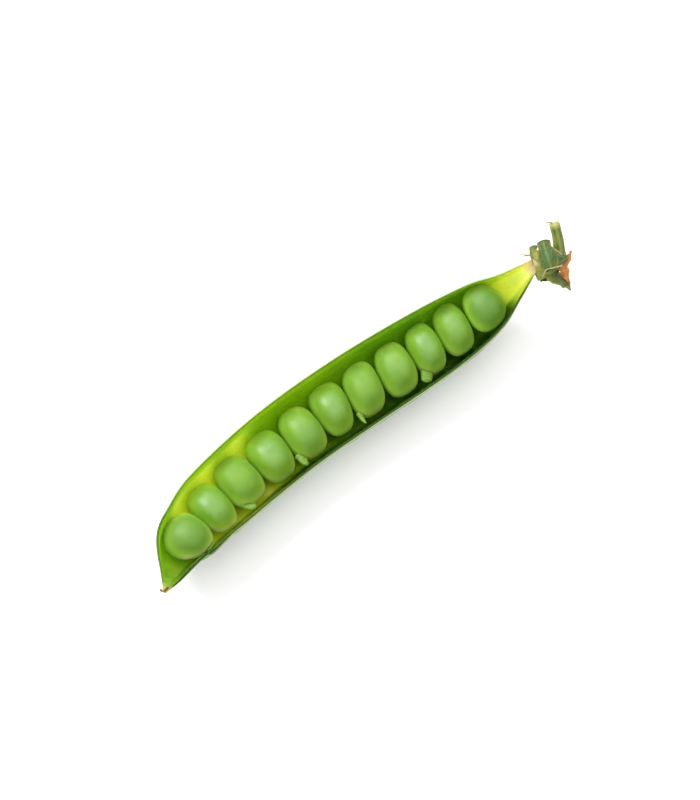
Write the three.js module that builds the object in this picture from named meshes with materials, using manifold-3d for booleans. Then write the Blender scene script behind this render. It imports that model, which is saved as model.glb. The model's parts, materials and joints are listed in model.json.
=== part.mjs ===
// A garden pea pod, split open along its upper seam, with its row of peas, its calyx and its stalk.
// It lies on its keel with the mouth up. Millimetres, +Z up, +X from the tip to the stalk, +Y to the
// back valve. The origin is the middle of the small flat on which the keel rests.
import * as THREE from "three";
import { mergeVertices } from "three/addons/utils/BufferGeometryUtils.js";
import Module from "manifold-3d";

const wasm = await Module();
wasm.setup();

// ---------------------------------------------------------------- driving sizes, mm and degrees

const TIP_X = -49.0; // where the two valves meet at the beak
const NECK_X = 49.4; // where the pod goes into the calyx
const MOUTH_Z = 13.1; // height of the mouth over the surface at x = 0
const TIP_RISE = 2.6; // how much higher the mouth is at the tip
const NECK_RISE = 1.7; // and at the neck
const WALL = 0.85; // thickness of a valve
const KEEL_WALL = 1.45; // and at the keel, where the two valves meet
const THIN_END = 0.9; // a valve this wide or deep is half as thick
const RIM_ROUND = 0.29; // height of a rim's rounded edge over the thickness of the valve
const KEEL_RIDGE = 0.2; // height of the seam along the keel
const PEA_BULGE = 0.22; // how far a pea pushes the valves out
const BULGE_SPREAD = 2.4; // and how far along the pod that fades
const BULGE_WIDTH = 6.75; // half width of the pod from which a pea pushes in full
const SOLID_TIP = [0.4, 6]; // from the beak: where the hollow begins, and where it is whole
const NECK_TAPER = 7; // length in which the hollow fades at the neck
const NECK_HOLLOW = 0.15; // share of the hollow that is left there

// Along the pod: [x, value] pairs that a smooth curve goes through.
const SIDE_SHIFT = [[-49, -10.4], [-46, -8.6], [-40, -4.65], [-36, -3.4], [-30, -1.95], [-12, -0.7],
  [5, -1.4], [27, -3.6], [36, -4.3], [42, -4.3], [49.4, -3.75]];
const HALF_WIDTH = [[-49, 0.35], [-46, 2.15], [-40, 5.45], [-36, 6.4], [-30, 7.15], [-20, 7.55],
  [-10, 7.7], [8, 7.7], [22, 7.25], [31, 6.4], [37, 5.25], [42, 3.35], [49.4, 0.95]];
const DEPTH = [[-49, 0.8], [-46, 4.8], [-40, 10.9], [-30, 14.1], [-15, 13.9], [0, 13.6], [15, 13.8],
  [28, 14.1], [35, 12.6], [40, 9.6], [45, 5.0], [49.4, 1.9]];
const ROLL = [[-49, 7], [-10, 7], [20, 7.5], [30, 12], [38, 16], [49.4, 18]]; // lean to the front

// One valve's outline across the pod, from keel to rim.
const KEEL_SLOPE = 10; // rise of the bottom beside the keel
const KEEL_SHIFT = -0.15; // of the keel to the back valve, as a share of the half width
// Outward lean of the wall at the rim, [x, degrees]: only towards the neck is the belly wider than the
// mouth.
const RIM_FLARE = [[-49, 14], [-40, 9], [-34, 5], [-26, 5], [22, 5], [37, -8], [49.4, 0]];
const BOTTOM_REACH = 0.86; // how far the bottom runs out before it turns up, as a share of the width
const SIDE_REACH = 0.6; // how far the side comes down before it turns in, as a share of the depth

// Where the row of peas starts, where each pea presses on the next, and where the row ends: [x, lean
// of the pressed faces, as a slope].
const PEA_FACES = [[-41.95, 0], [-33.6, 0.04], [-26.4, 0.03], [-18.4, -0.03], [-10.5, 0.06], [-2.8, -0.02],
  [4.5, 0.14], [11.9, 0.12], [19.3, 0.04], [25.9, 0.06], [32.6, 0.05], [40.7, 0]];
// Each pea from the tip: [half width, shift to the back valve].
const PEAS = [[4.7, 0], [5.15, -0.05], [5.25, 0.4], [5.25, 0], [5.35, -0.05], [5.25, 0.4], [5.3, 0.25],
  [5.3, 0.2], [5.2, 0.2], [5.15, 0.2], [4.6, 0]];
const PEA_HEIGHT = 0.94; // height of a pea over its width
const PRESSED = 2.8; // exponent of a pea's outline on a pressed side, where 2 is round
const FREE = 2.05; // exponent on the free side of the first and the last pea
// How far the peas' undersides lie below the mouth, [x, depth].
const PEA_FLOOR = [[-49, 5.0], [-40, 7.6], [-30, 10.7], [-15, 11.3], [8, 11.3], [22, 11.0], [33, 9.9],
  [40, 6.2]];
// The stubs by which five of the peas hung from the front rim: their middle lines, as [x, across, depth
// below the mouth], and their radii.
const STUBS = [
  { pea: 1, path: [[-38.6, -3.9, 3.5], [-36.95, -4.6, 2.9], [-35.6, -4.4, 2.9]], radii: [0.42, 0.35, 0.18] },
  { pea: 3, path: [[-25.0, -3.9, 5.2], [-24.4, -5.1, 4.5], [-23.4, -5.6, 4.1]], radii: [0.65, 0.6, 0.3] },
  { pea: 5, path: [[-9.9, -3.4, 5.4], [-10.2, -4.9, 4.6], [-10.2, -6.0, 4.0]], radii: [0.9, 0.75, 0.4] },
  { pea: 7, path: [[4.6, -3.4, 5.4], [4.4, -4.7, 4.7], [4.4, -5.9, 4.1]], radii: [0.6, 0.45, 0.25] },
  { pea: 9, path: [[20.5, -3.5, 5.2], [19.5, -4.8, 4.4], [18.9, -5.55, 3.8]], radii: [1.1, 0.9, 0.7] },
];

// The dry hook of the style at the beak, then stalk, calyx and what is left of the flower.
const STYLE = [[-47.9, -10.0, 15.1], [-48.7, -10.1, 15.4], [-49.3, -9.85, 15.8], [-49.4, -9.4, 16.2]];
const STYLE_RADII = [0.42, 0.36, 0.32, 0.3];
const STALK = [[53.5, -6.2, 14.7], [54.2, -4.9, 15.2], [55.2, -3.2, 16.3], [55.9, -1.7, 17.3],
  [56.4, -0.5, 18.2]];
const STALK_RADII = [1.3, 1.2, 1.15, 1.1, 1.15];
const CUP_AXIS = [[54.2, -6.1, 14.4], [52.4, -5.4, 14.3], [50.2, -4.5, 14.0], [48.6, -3.8, 13.9]];
const CUP_RADII = [0.8, 2.0, 2.7, 3.0];
// The cup's hollow round the neck: length, depths of its two ends below the mouth of the pod, and radii.
const NECK_ROOM = { length: 3.4, below: [1.5, 1.3], radii: [2.75, 2.15] };
const BLADE_THICKNESS = 0.62; // of sepals and petals
const BLADE_FOOT = 0.22; // where on a half wave of width a blade begins, so its foot is two thirds wide
const BLADE_TIP = 0.3; // half width at its blunt tip, unless it has its own
const EDGE_LAG = 2; // how far the waves along one edge lag the other's, in radians
// Each sepal: the points of its middle rib from the cup to its tip, the way its outer face looks, its
// width and, where it is blunt, the half width of its tip, how far its edges stand in, and the height
// and number of the waves along them.
const SEPALS = [
  { rib: [[50.4, -6.9, 16.6], [50.9, -5.2, 17.9], [51.6, -3.5, 18.4], [52.4, -1.9, 18.0]],
    face: [-0.2, -0.1, 1], width: 4.2, tip: 1.35, cup: 0.3, wave: 0.3, waves: 1.5 },
  { rib: [[50.2, -6.3, 15.6], [49.5, -4.7, 16.6], [49.5, -2.9, 16.9], [50.4, -1.1, 16.5]],
    face: [-0.6, 0.1, 1], width: 2.6, tip: 0.8, cup: 0.3, wave: 0.3, waves: 2.5 },
  { rib: [[50.1, -6.5, 13.9], [50.5, -8.0, 13.2], [51.3, -9.5, 11.8], [52.2, -11.0, 10.4]],
    face: [-0.3, -0.4, -1], width: 4.6, tip: 1.1, cup: 0.3, wave: 0.3, waves: 2 },
  { rib: [[52.3, -6.4, 12.9], [50.6, -6.5, 12.2], [49.4, -6.4, 11.4], [48.6, -6.2, 10.6]],
    face: [-0.3, 0, -1], width: 3.0, cup: 0.4, wave: 0.25, waves: 2 },
  { rib: [[54.4, -6.7, 15.2], [52.9, -6.7, 15.9], [51.1, -6.7, 15.9], [49.6, -6.5, 15.1]],
    face: [0.1, -1, 0.7], width: 2.4, cup: 0.4, wave: 0.3, waves: 2.5 },
];
const PETALS = [
  { rib: [[54.2, -6.5, 13.9], [53.7, -7.8, 13.8], [53.2, -9.0, 13.2], [52.8, -9.9, 12.4],
    [52.7, -10.6, 11.5]],
    face: [0.5, 0, 1], width: 2.6, cup: 0.5, wave: 0.45, waves: 2.5 },
  { rib: [[53.5, -7.5, 13.6], [54.4, -7.1, 14.0], [55.4, -6.6, 14.2], [56.3, -6.0, 14.0]],
    face: [0, -0.3, 1], width: 1.7, cup: 0.5, wave: 0.35, waves: 2 },
];
const GAP = 0.3; // between neighbouring pieces

const radians = THREE.MathUtils.degToRad;

// ---------------------------------------------------------------- curves and skins

// A smooth curve through [x, value] pairs: cubic pieces whose slope at a pair is that of its neighbours.
function through(pairs) {
  const slope = pairs.map((_, i) => {
    const [a, b] = [pairs[Math.max(i - 1, 0)], pairs[Math.min(i + 1, pairs.length - 1)]];
    return (b[1] - a[1]) / (b[0] - a[0]);
  });
  return (x) => {
    let i = 0;
    while (i < pairs.length - 2 && x > pairs[i + 1][0]) i++;
    const [[x0, y0], [x1, y1]] = [pairs[i], pairs[i + 1]];
    const h = x1 - x0;
    const t = THREE.MathUtils.clamp((x - x0) / h, 0, 1);
    const back = 1 - t;
    return y0 * back * back * (1 + 2 * t) + y1 * t * t * (3 - 2 * t)
      + h * t * back * (slope[i] * back - slope[i + 1] * t);
  };
}

// The skin over a row of rings with equally many points. The quads of the first and the second half
// of a ring are split alike, so the two faces of a thin wall stay apart. Each end is closed by a cap: a
// "wall" cap joins the first half of the ring to the second, a "fan" cap joins the ring to its middle.
function skin(rings, cap) {
  const count = rings[0].length;
  const points = rings.flat();
  const faces = [];
  for (let i = 0; i < rings.length - 1; i++) {
    for (let j = 0; j < count; j++) {
      const k = (j + 1) % count;
      const [a, b, c, d] = [i * count + j, i * count + k, (i + 1) * count + k, (i + 1) * count + j];
      if (j < count / 2) faces.push(a, b, c, a, c, d);
      else faces.push(b, c, d, b, d, a);
    }
  }
  for (const end of [0, rings.length - 1]) {
    const at = end * count;
    const flip = end === 0;
    const tri = (a, b, c) => (flip ? faces.push(a, c, b) : faces.push(a, b, c));
    if (cap === "wall") {
      for (let j = 0; j < count / 2 - 1; j++) {
        const [a, b, c, d] = [j, j + 1, count - 2 - j, count - 1 - j].map((n) => at + n);
        tri(a, b, c);
        tri(a, c, d);
      }
    } else {
      const middle = new THREE.Vector3();
      rings[end].forEach((p) => middle.addScaledVector(p, 1 / count));
      points.push(middle);
      for (let j = 0; j < count; j++) tri(at + j, at + ((j + 1) % count), points.length - 1);
    }
  }
  const geometry = new THREE.BufferGeometry().setFromPoints(points);
  return geometry.setIndex(faces);
}

// A geometry as a manifold-3d solid: shared points merged, collapsed faces dropped, faces out.
function solid(geometry) {
  const bare = new THREE.BufferGeometry().setAttribute("position", geometry.getAttribute("position"));
  if (geometry.index) bare.setIndex(geometry.index);
  const merged = mergeVertices(bare, 1e-3);
  const index = merged.index.array;
  const faces = [];
  for (let i = 0; i < index.length; i += 3) {
    const [a, b, c] = index.slice(i, i + 3);
    if (a !== b && b !== c && c !== a) faces.push(a, b, c);
  }
  const build = (triVerts) => new wasm.Manifold(new wasm.Mesh({
    numProp: 3, vertProperties: merged.attributes.position.array, triVerts: new Uint32Array(triVerts),
  }));
  const made = build(faces);
  return made.volume() > 0 ? made : build(faces.reverse());
}

// A named three.js mesh of a solid.
function meshOf(made, name, material) {
  const { numProp, vertProperties, triVerts } = made.getMesh();
  const points = [];
  for (let i = 0; i < vertProperties.length; i += numProp) {
    points.push(new THREE.Vector3().fromArray(vertProperties, i));
  }
  const geometry = new THREE.BufferGeometry().setFromPoints(points).setIndex([...triVerts]);
  const mesh = new THREE.Mesh(geometry, material);
  mesh.name = name;
  return mesh;
}

// ---------------------------------------------------------------- the pod's own frame

const sideShift = through(SIDE_SHIFT);
const halfWidth = through(HALF_WIDTH);
const depth = through(DEPTH);
const roll = through(ROLL);
const rimFlare = through(RIM_FLARE);
const peaFloor = through(PEA_FLOOR);

// Middle of the mouth at x, with the directions across (to the back valve) and out of it.
function mouth(x) {
  const rise = x < 0 ? TIP_RISE * (x / TIP_X) ** 2 : NECK_RISE * (x / NECK_X) ** 2;
  const at = new THREE.Vector3(x, sideShift(x), MOUTH_Z + rise);
  const step = 0.1;
  const along = new THREE.Vector3(2 * step, sideShift(x + step) - sideShift(x - step), 0).normalize();
  const level = new THREE.Vector3(-along.y, along.x, 0);
  const up = new THREE.Vector3(0, 0, 1);
  const turn = (v) => v.clone().applyAxisAngle(along, radians(roll(x)));
  return { at, across: turn(level), out: turn(up) };
}

// The point that lies so far across and below the mouth at x.
function inPod(x, across, below) {
  const m = mouth(x);
  return m.at.addScaledVector(m.across, across).addScaledVector(m.out, -below);
}

// The outline of the back (side 1) or front (side -1) valve at x for a width and a depth, from the
// keel to (width, 0) at the rim. The front one is mirrored, so that both run to a positive width.
function valve(x, width, deep, side) {
  const [slope, flare] = [radians(KEEL_SLOPE), radians(rimFlare(x))];
  const keel = side * KEEL_SHIFT * width;
  const [bottom, upright] = [BOTTOM_REACH * width - keel, SIDE_REACH * deep];
  return new THREE.CubicBezierCurve(
    new THREE.Vector2(keel, deep),
    new THREE.Vector2(keel + bottom * Math.cos(slope), deep - bottom * Math.sin(slope)),
    new THREE.Vector2(width - upright * Math.sin(flare), upright * Math.cos(flare)),
    new THREE.Vector2(width, 0),
  );
}

// How much of the hollow there is at x: none at the beak, all from the first pea to the last.
function hollow(x) {
  const { smoothstep } = THREE.MathUtils;
  const tip = smoothstep(x, TIP_X + SOLID_TIP[0], TIP_X + SOLID_TIP[1]);
  const neck = smoothstep(x, NECK_X - NECK_TAPER, NECK_X);
  return tip * (1 - (1 - NECK_HOLLOW) * neck);
}

// Where the middle of a pea is along the pod.
function peaMiddle(i) {
  return (PEA_FACES[i][0] + PEA_FACES[i + 1][0]) / 2;
}

// How strongly a pea pushes the valves out at x.
function bulge(x) {
  return PEAS.reduce((sum, _, i) => sum + Math.exp(-(((x - peaMiddle(i)) / BULGE_SPREAD) ** 2)), 0);
}

// Half width and depth of the hollow at x.
function innerSize(x) {
  const [w, d] = [halfWidth(x), depth(x)];
  const wall = (WALL * w) / (w + THIN_END);
  const keel = (KEEL_WALL * d) / (d + THIN_END);
  return { w: w - wall, d: (d - keel) * hollow(x) };
}

// ---------------------------------------------------------------- the pieces

const VALVE_STEPS = 8;
const POD_STEPS = 62;
const END_CROWDING = 0.35; // how strongly the steps draw together at the ends, 0 to 1

// Both valves' outlines at x from the front rim to the back rim, for a half width and a depth.
function trough(x, width, deep, push) {
  const half = (side) => Array.from({ length: VALVE_STEPS + 1 }, (_, j) => {
    const p = valve(x, width, deep, side).getPoint(j / VALVE_STEPS);
    const out = push * Math.sin((Math.PI * j) / VALVE_STEPS) ** 2;
    return new THREE.Vector2(side * (p.x + out), p.y);
  });
  return [...half(-1).reverse(), ...half(1).slice(1)];
}

// The pod: both valves in one shell, joined along the keel and closed at the beak and the neck.
function pod() {
  const rings = [];
  for (let i = 0; i <= POD_STEPS; i++) {
    const even = i / POD_STEPS;
    const closerAtEnds = 0.5 - 0.5 * Math.cos(Math.PI * even);
    const x = THREE.MathUtils.lerp(TIP_X, NECK_X, THREE.MathUtils.lerp(even, closerAtEnds, END_CROWDING));
    const [w, d] = [halfWidth(x), depth(x)];
    const inner = innerSize(x);
    const push = PEA_BULGE * bulge(x) * Math.min(1, w / BULGE_WIDTH);
    const outside = trough(x, w, d, push);
    outside[VALVE_STEPS].y += KEEL_RIDGE;
    const inside = trough(x, inner.w, inner.d, push).reverse();
    const rim = new THREE.Vector2((w + inner.w) / 2, -RIM_ROUND * (w - inner.w));
    const frontRim = new THREE.Vector2(-rim.x, rim.y);
    // The first half of the ring is the outside, the second half the inside.
    rings.push([...outside, rim, ...inside, frontRim].map((p) => inPod(x, p.x, p.y)));
  }
  const style = tube(STYLE, STYLE_RADII, 6, 8);
  return solid(skin(rings, "wall")).subtract(solid(ground())).add(style);
}

// What is below the surface that the pod rests on.
function ground() {
  const length = NECK_X - TIP_X;
  return new THREE.BoxGeometry(2 * length, length, MOUTH_Z).translate(0, 0, -MOUTH_Z / 2);
}

// A smooth curve through points given as [x, y, z].
function curveThrough(points) {
  return new THREE.CatmullRomCurve3(points.map((p) => new THREE.Vector3(...p)), false, "centripetal");
}

// A tube with a round section of changing radius through the points, grown all round by so much.
function tube(points, radii, steps, sides, grown = 0) {
  const curve = curveThrough(points);
  const { normals, binormals } = curve.computeFrenetFrames(steps);
  const rings = [];
  for (let i = 0; i <= steps; i++) {
    const t = i / steps;
    const at = curve.getPointAt(t).addScaledVector(curve.getTangentAt(t), grown * (2 * t - 1));
    const place = t * (radii.length - 1);
    const low = Math.min(Math.floor(place), radii.length - 2);
    const radius = grown + THREE.MathUtils.lerp(radii[low], radii[low + 1], place - low);
    rings.push(Array.from({ length: sides }, (_, j) => {
      const turn = (2 * Math.PI * j) / sides;
      return at.clone().addScaledVector(normals[i], radius * Math.cos(turn))
        .addScaledVector(binormals[i], radius * Math.sin(turn));
    }));
  }
  return solid(skin(rings, "fan"));
}

const PEA_RINGS = 12;
const PEA_SIDES = 20;

// A pea: round across the pod, with flatter faces where its neighbours press on it.
function pea(i) {
  const [halfWide, shift] = PEAS[i];
  const [[from, fromLean], [to, toLean]] = [PEA_FACES[i], PEA_FACES[i + 1]];
  const middle = peaMiddle(i);
  const half = (to - from - GAP) / 2;
  const below = peaFloor(middle) - halfWide * PEA_HEIGHT;
  const rings = [];
  for (let n = 1; n < PEA_RINGS; n++) {
    const turn = (Math.PI * n) / PEA_RINGS;
    const isFree = (i === 0 && n < PEA_RINGS / 2) || (i === PEAS.length - 1 && n > PEA_RINGS / 2);
    const power = 2 / (isFree ? FREE : PRESSED);
    const along = -Math.sign(Math.cos(turn)) * Math.abs(Math.cos(turn)) ** power;
    const lean = THREE.MathUtils.lerp(fromLean, toLean, (1 + along) / 2);
    const radius = Math.sin(turn) ** power;
    rings.push(Array.from({ length: PEA_SIDES }, (_, j) => {
      const round = (2 * Math.PI * j) / PEA_SIDES;
      const across = halfWide * radius * Math.cos(round);
      const up = halfWide * PEA_HEIGHT * radius * Math.sin(round);
      return inPod(middle + half * along + lean * across, across + shift, below - up);
    }));
  }
  const stubs = STUBS.filter((stub) => stub.pea === i + 1);
  return stubs.reduce((sum, { path, radii }) => sum.add(tube(path.map((p) => inPod(...p)), radii, 6, 10)),
    solid(skin(rings, "fan")));
}

const BLADE_STEPS = 12;
const BLADE_ACROSS = 8;

// A thin leaf-like blade along its rib: broad near its foot, pointed, cupped and waved at its edges.
function blade({ rib, face, width, cup, wave, waves, tip = BLADE_TIP }, grown = 0) {
  const thickness = BLADE_THICKNESS + 2 * grown;
  const curve = curveThrough(rib);
  const rings = [];
  for (let i = 0; i <= BLADE_STEPS; i++) {
    const t = i / BLADE_STEPS;
    const along = curve.getTangentAt(t);
    const side = new THREE.Vector3(...face).cross(along).normalize();
    const out = along.clone().cross(side);
    const swell = Math.sin(Math.PI * THREE.MathUtils.lerp(BLADE_FOOT, 1, t));
    const half = Math.max((width / 2) * swell, tip);
    const point = (place, height) => {
      const share = place * (1 + grown / half);
      const phase = 2 * Math.PI * waves * t + (share > 0 ? 0 : EDGE_LAG);
      const ripple = wave * Math.min(1, half) * Math.sin(phase);
      const fall = (cup * half - ripple) * share * share;
      return curve.getPointAt(t).addScaledVector(along, grown * (2 * t - 1))
        .addScaledVector(side, half * share).addScaledVector(out, height - fall);
    };
    const row = Array.from({ length: BLADE_ACROSS + 1 }, (_, j) => -1 + (2 * j) / BLADE_ACROSS);
    const upper = row.map((place) => point(place, thickness / 2));
    const lower = row.reverse().map((place) => point(place, -thickness / 2));
    rings.push([...upper, ...lower]);
  }
  return solid(skin(rings, "wall"));
}

// The calyx: a cup round the foot of the pod, with five sepals. Grown, it is the room it needs.
function calyx(grown = 0) {
  const cup = tube(CUP_AXIS, CUP_RADII, 8, 20, grown);
  const { length, below, radii } = NECK_ROOM;
  const ends = [inPod(NECK_X - length, 0, below[0]), inPod(NECK_X + GAP, 0, below[1])];
  const neckRoom = tube(ends, radii, 4, 16);
  return SEPALS.reduce((sum, sepal) => sum.add(blade(sepal, grown)), cup).subtract(neckRoom);
}

// The stalk, which the calyx sits on.
function stalk(grown = 0) {
  return tube(STALK, STALK_RADII, 10, 14, grown);
}

// What is left of the flower: withered petals, clear of the calyx and the stalk.
function driedFlower() {
  const petals = PETALS.map((petal) => blade(petal));
  const room = calyx(2 * GAP).add(stalk(GAP));
  return petals.reduce((sum, petal) => sum.add(petal)).subtract(room);
}

// ---------------------------------------------------------------- the object

const material = (color, roughness) => new THREE.MeshStandardMaterial({ color, roughness, metalness: 0 });
const valveGreen = material(0x6fa52c, 0.45);
const peaGreen = material(0x8db63f, 0.38);
const sepalGreen = material(0x5b7a4c, 0.6);
const stalkGreen = material(0x95a54a, 0.55);
const driedPetal = material(0xc08a4a, 0.8);

const group = new THREE.Group();
group.add(meshOf(pod(), "pod", valveGreen));
PEAS.forEach((_, i) => {
  const name = `pea_${String(i + 1).padStart(2, "0")}`;
  group.add(meshOf(pea(i), name, peaGreen));
});
group.add(meshOf(calyx(), "calyx", sepalGreen));
group.add(meshOf(stalk().subtract(calyx(GAP)), "stem", stalkGreen));
group.add(meshOf(driedFlower(), "dried_flower", driedPetal));

export default group;
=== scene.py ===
"""A garden pea pod, split open along its upper seam, with its peas, calyx, stalk and withered flower.

Sizes are in millimetres and angles in degrees, until a mesh is written in metres. The axes are those
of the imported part: +Z up, +X from the beak to the stalk, +Y to the back valve.
"""

from __future__ import annotations

import json
import logging
import math
from collections.abc import Iterable
from dataclasses import dataclass, field
from enum import Enum
from functools import reduce
from itertools import product

import bpy
import numpy as np
from mathutils import Matrix, Vector

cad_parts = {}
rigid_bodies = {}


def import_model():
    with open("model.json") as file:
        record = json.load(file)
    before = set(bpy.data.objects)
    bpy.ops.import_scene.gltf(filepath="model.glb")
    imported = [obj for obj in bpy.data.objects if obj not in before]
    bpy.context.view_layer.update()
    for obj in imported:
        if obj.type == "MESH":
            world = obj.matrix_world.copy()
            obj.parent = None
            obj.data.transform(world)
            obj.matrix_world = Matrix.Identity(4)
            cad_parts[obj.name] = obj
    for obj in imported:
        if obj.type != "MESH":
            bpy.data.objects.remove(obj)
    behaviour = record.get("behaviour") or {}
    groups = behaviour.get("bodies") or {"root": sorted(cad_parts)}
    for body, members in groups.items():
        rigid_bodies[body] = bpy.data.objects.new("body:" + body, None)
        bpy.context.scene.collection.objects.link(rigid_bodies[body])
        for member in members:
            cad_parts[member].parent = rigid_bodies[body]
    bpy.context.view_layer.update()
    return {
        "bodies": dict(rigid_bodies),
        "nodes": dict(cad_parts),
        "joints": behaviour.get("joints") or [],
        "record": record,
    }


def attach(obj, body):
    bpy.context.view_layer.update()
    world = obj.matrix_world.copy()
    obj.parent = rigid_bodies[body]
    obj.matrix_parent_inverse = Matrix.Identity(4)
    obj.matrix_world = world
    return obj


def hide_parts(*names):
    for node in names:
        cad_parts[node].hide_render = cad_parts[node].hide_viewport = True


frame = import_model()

MM = 0.001  # a millimetre in metres
GAP = 0.3  # between neighbouring peas
TINY = 1e-12  # keeps a division by a length from failing
WHITE = (1.0, 1.0, 1.0, 1.0)
UPRIGHT = np.array([0.0, 0.0, 1.0])
WORD = 0xFFFFFFFF  # the largest number of 32 bits
SEED_FACTOR, SEED_SHIFT = 668265263, 374761393  # large odd numbers, which scramble a seed,
CORNER_FACTORS = (2246822519, 3266489917, 2654435761)  # a corner's numbers
STIR_FACTOR = 1274126177  # and what is made of them

Point = tuple[float, float, float]
Pair = tuple[float, float]
Pairs = tuple[Pair, ...]
Color = tuple[float, float, float, float]
Values = dict[str, np.ndarray]
Socket = bpy.types.NodeSocket

log = logging.getLogger("pea_pod")


# ------------------------------------------------------------------------------ curves and unevenness


@dataclass(frozen=True)
class Profile:
    """A smooth curve through (x, value) pairs: cubic pieces with the slope of their neighbours."""

    pairs: Pairs

    def __call__(self, x: np.ndarray | float) -> np.ndarray:
        """The values at x.

        Each piece is the cubic that meets both of its pairs with the slope of the chord between the
        pairs on either side, so the curve has no kink.

        Args:
            x: Places along the pod.

        Returns:
            The curve's values, in the shape of x.
        """
        xs, ys = np.array(self.pairs, dtype=float).T
        before = np.maximum(np.arange(len(xs)) - 1, 0)
        after = np.minimum(np.arange(len(xs)) + 1, len(xs) - 1)
        slope = (ys[after] - ys[before]) / (xs[after] - xs[before])
        x = np.asarray(x, dtype=float)
        i = np.searchsorted(xs[1:-1], x, side="left")
        h = xs[i + 1] - xs[i]
        t = np.clip((x - xs[i]) / h, 0, 1)
        back = 1 - t
        return (
            ys[i] * back * back * (1 + 2 * t)
            + ys[i + 1] * t * t * (3 - 2 * t)
            + h * t * back * (slope[i] * back - slope[i + 1] * t)
        )


@dataclass(frozen=True)
class Path:
    """A smooth curve in space through points, with places on it even in length."""

    points: tuple[Point, ...]
    fine_steps: int = 60

    def __call__(self, share: np.ndarray) -> tuple[np.ndarray, np.ndarray]:
        """Places and directions at shares of the curve's length.

        Between two points the curve is the cubic whose slopes weigh the chords beside it by the
        square roots of their lengths, and the length is summed over many short steps.

        Args:
            share: Shares of the length, from 0 to 1.

        Returns:
            The places and the unit tangents, one row for each share.
        """
        p = np.array(self.points, dtype=float)
        p = np.vstack([2 * p[0] - p[1], p, 2 * p[-1] - p[-2]])
        fine = np.linspace(0, len(self.points) - 1, self.fine_steps * len(self.points))
        i = np.minimum(fine.astype(int), len(self.points) - 2)
        t = (fine - i)[:, None]
        a, b, c, d = p[i], p[i + 1], p[i + 2], p[i + 3]
        ab, bc, cd = (np.sqrt(np.linalg.norm(v, axis=1, keepdims=True)) for v in (b - a, c - b, d - c))
        leave = bc * ((b - a) / ab - (c - a) / (ab + bc) + (c - b) / bc)
        arrive = bc * ((c - b) / bc - (d - b) / (bc + cd) + (d - c) / cd)
        back = 1 - t
        place = (
            b * back * back * (1 + 2 * t)
            + c * t * t * (3 - 2 * t)
            + t * back * (leave * back - arrive * t)
        )
        run = np.concatenate([[0], np.cumsum(np.linalg.norm(np.diff(place, axis=0), axis=1))])
        run /= run[-1]
        at = np.stack([np.interp(share, run, place[:, k]) for k in range(3)], axis=-1)
        way = np.gradient(place, run, axis=0)
        along = np.stack([np.interp(share, run, way[:, k]) for k in range(3)], axis=-1)
        return at, unit(along)


@dataclass(frozen=True)
class Grain:
    """Smooth seeded unevenness in space."""

    seed: int
    octave_shift: float = 19.7
    second_draw: float = 57.0

    def _corner(self, cell: np.ndarray) -> np.ndarray:
        """A fixed value for each whole-numbered corner.

        The seed and each of the corner's numbers, times a large odd number, are mixed bit by bit,
        multiplied and folded onto themselves.

        Args:
            cell: Corners, one row of three whole numbers each.

        Returns:
            Values from 0 to 1.
        """
        c = cell.astype(np.int64).astype(np.uint32)
        mixed = np.full(c.shape[:-1], (self.seed * SEED_FACTOR + SEED_SHIFT) & WORD, dtype=np.uint32)
        for k, factor in enumerate(CORNER_FACTORS):
            mixed = (mixed ^ (c[..., k] * np.uint32(factor))) * np.uint32(STIR_FACTOR)
            mixed = mixed ^ (mixed >> np.uint32(15))
        return mixed.astype(float) / WORD

    def __call__(self, places: np.ndarray, size: float, octaves: int = 1) -> np.ndarray:
        """Unevenness at places.

        Random values at the corners of a grid with the given spacing are blended smoothly between
        the corners. Each further octave has half the spacing and half the height.

        Args:
            places: Places in space, one row of three numbers each.
            size: Spacing of the swellings.
            octaves: How many ever finer layers are summed.

        Returns:
            Values about from -1 to 1.
        """
        total = np.zeros(places.shape[:-1])
        for k in range(octaves):
            p = places / (size / 2**k) + self.octave_shift * k
            base = np.floor(p)
            f = p - base
            f = f * f * (3 - 2 * f)
            for corner in product((0, 1), repeat=3):
                weight = np.prod(np.where(np.array(corner) == 1, f, 1 - f), axis=-1)
                total += (self._corner(base + np.array(corner)) * 2 - 1) * weight / 2**k
        return total

    def borders(self, places: np.ndarray) -> np.ndarray:
        """How far places in a plane are from the borders of scattered cells of about size 1.

        Every unit square has one scattered middle, and the result is the distance to the second
        nearest middle less that to the nearest.

        Args:
            places: Places in the plane, in cell sizes, one row of two numbers each.

        Returns:
            0 on a border, growing to about 1 inside a cell.
        """
        base = np.floor(places)
        far = []
        for step in product((-1, 0, 1), repeat=2):
            cell = base + np.array(step)
            keys = np.concatenate([cell, np.zeros_like(cell[..., :1])], axis=-1)
            jitter = np.stack([self._corner(keys), self._corner(keys + self.second_draw)], axis=-1)
            far.append(np.linalg.norm(cell + jitter - places, axis=-1))
        near = np.sort(np.stack(far), axis=0)
        return near[1] - near[0]


def unit(v: np.ndarray) -> np.ndarray:
    """The vectors v at length 1."""
    return v / np.maximum(np.linalg.norm(v, axis=-1, keepdims=True), TINY)


def hill(x: np.ndarray, middle: float, spread: float) -> np.ndarray:
    """A smooth hill of height 1 at the middle, down to a third at one spread from it."""
    return np.exp(-(((x - middle) / spread) ** 2))


def rise(x: np.ndarray, low: float, high: float) -> np.ndarray:
    """0 below low, 1 above high and a smooth step between."""
    t = np.clip((np.asarray(x, dtype=float) - low) / (high - low), 0, 1)
    return t * t * (3 - 2 * t)


def between(share: np.ndarray, values: tuple[float, ...]) -> np.ndarray:
    """Values given at even shares from 0 to 1, joined by straight lines, read at the shares."""
    return np.interp(share, np.linspace(0, 1, len(values)), values)


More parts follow.
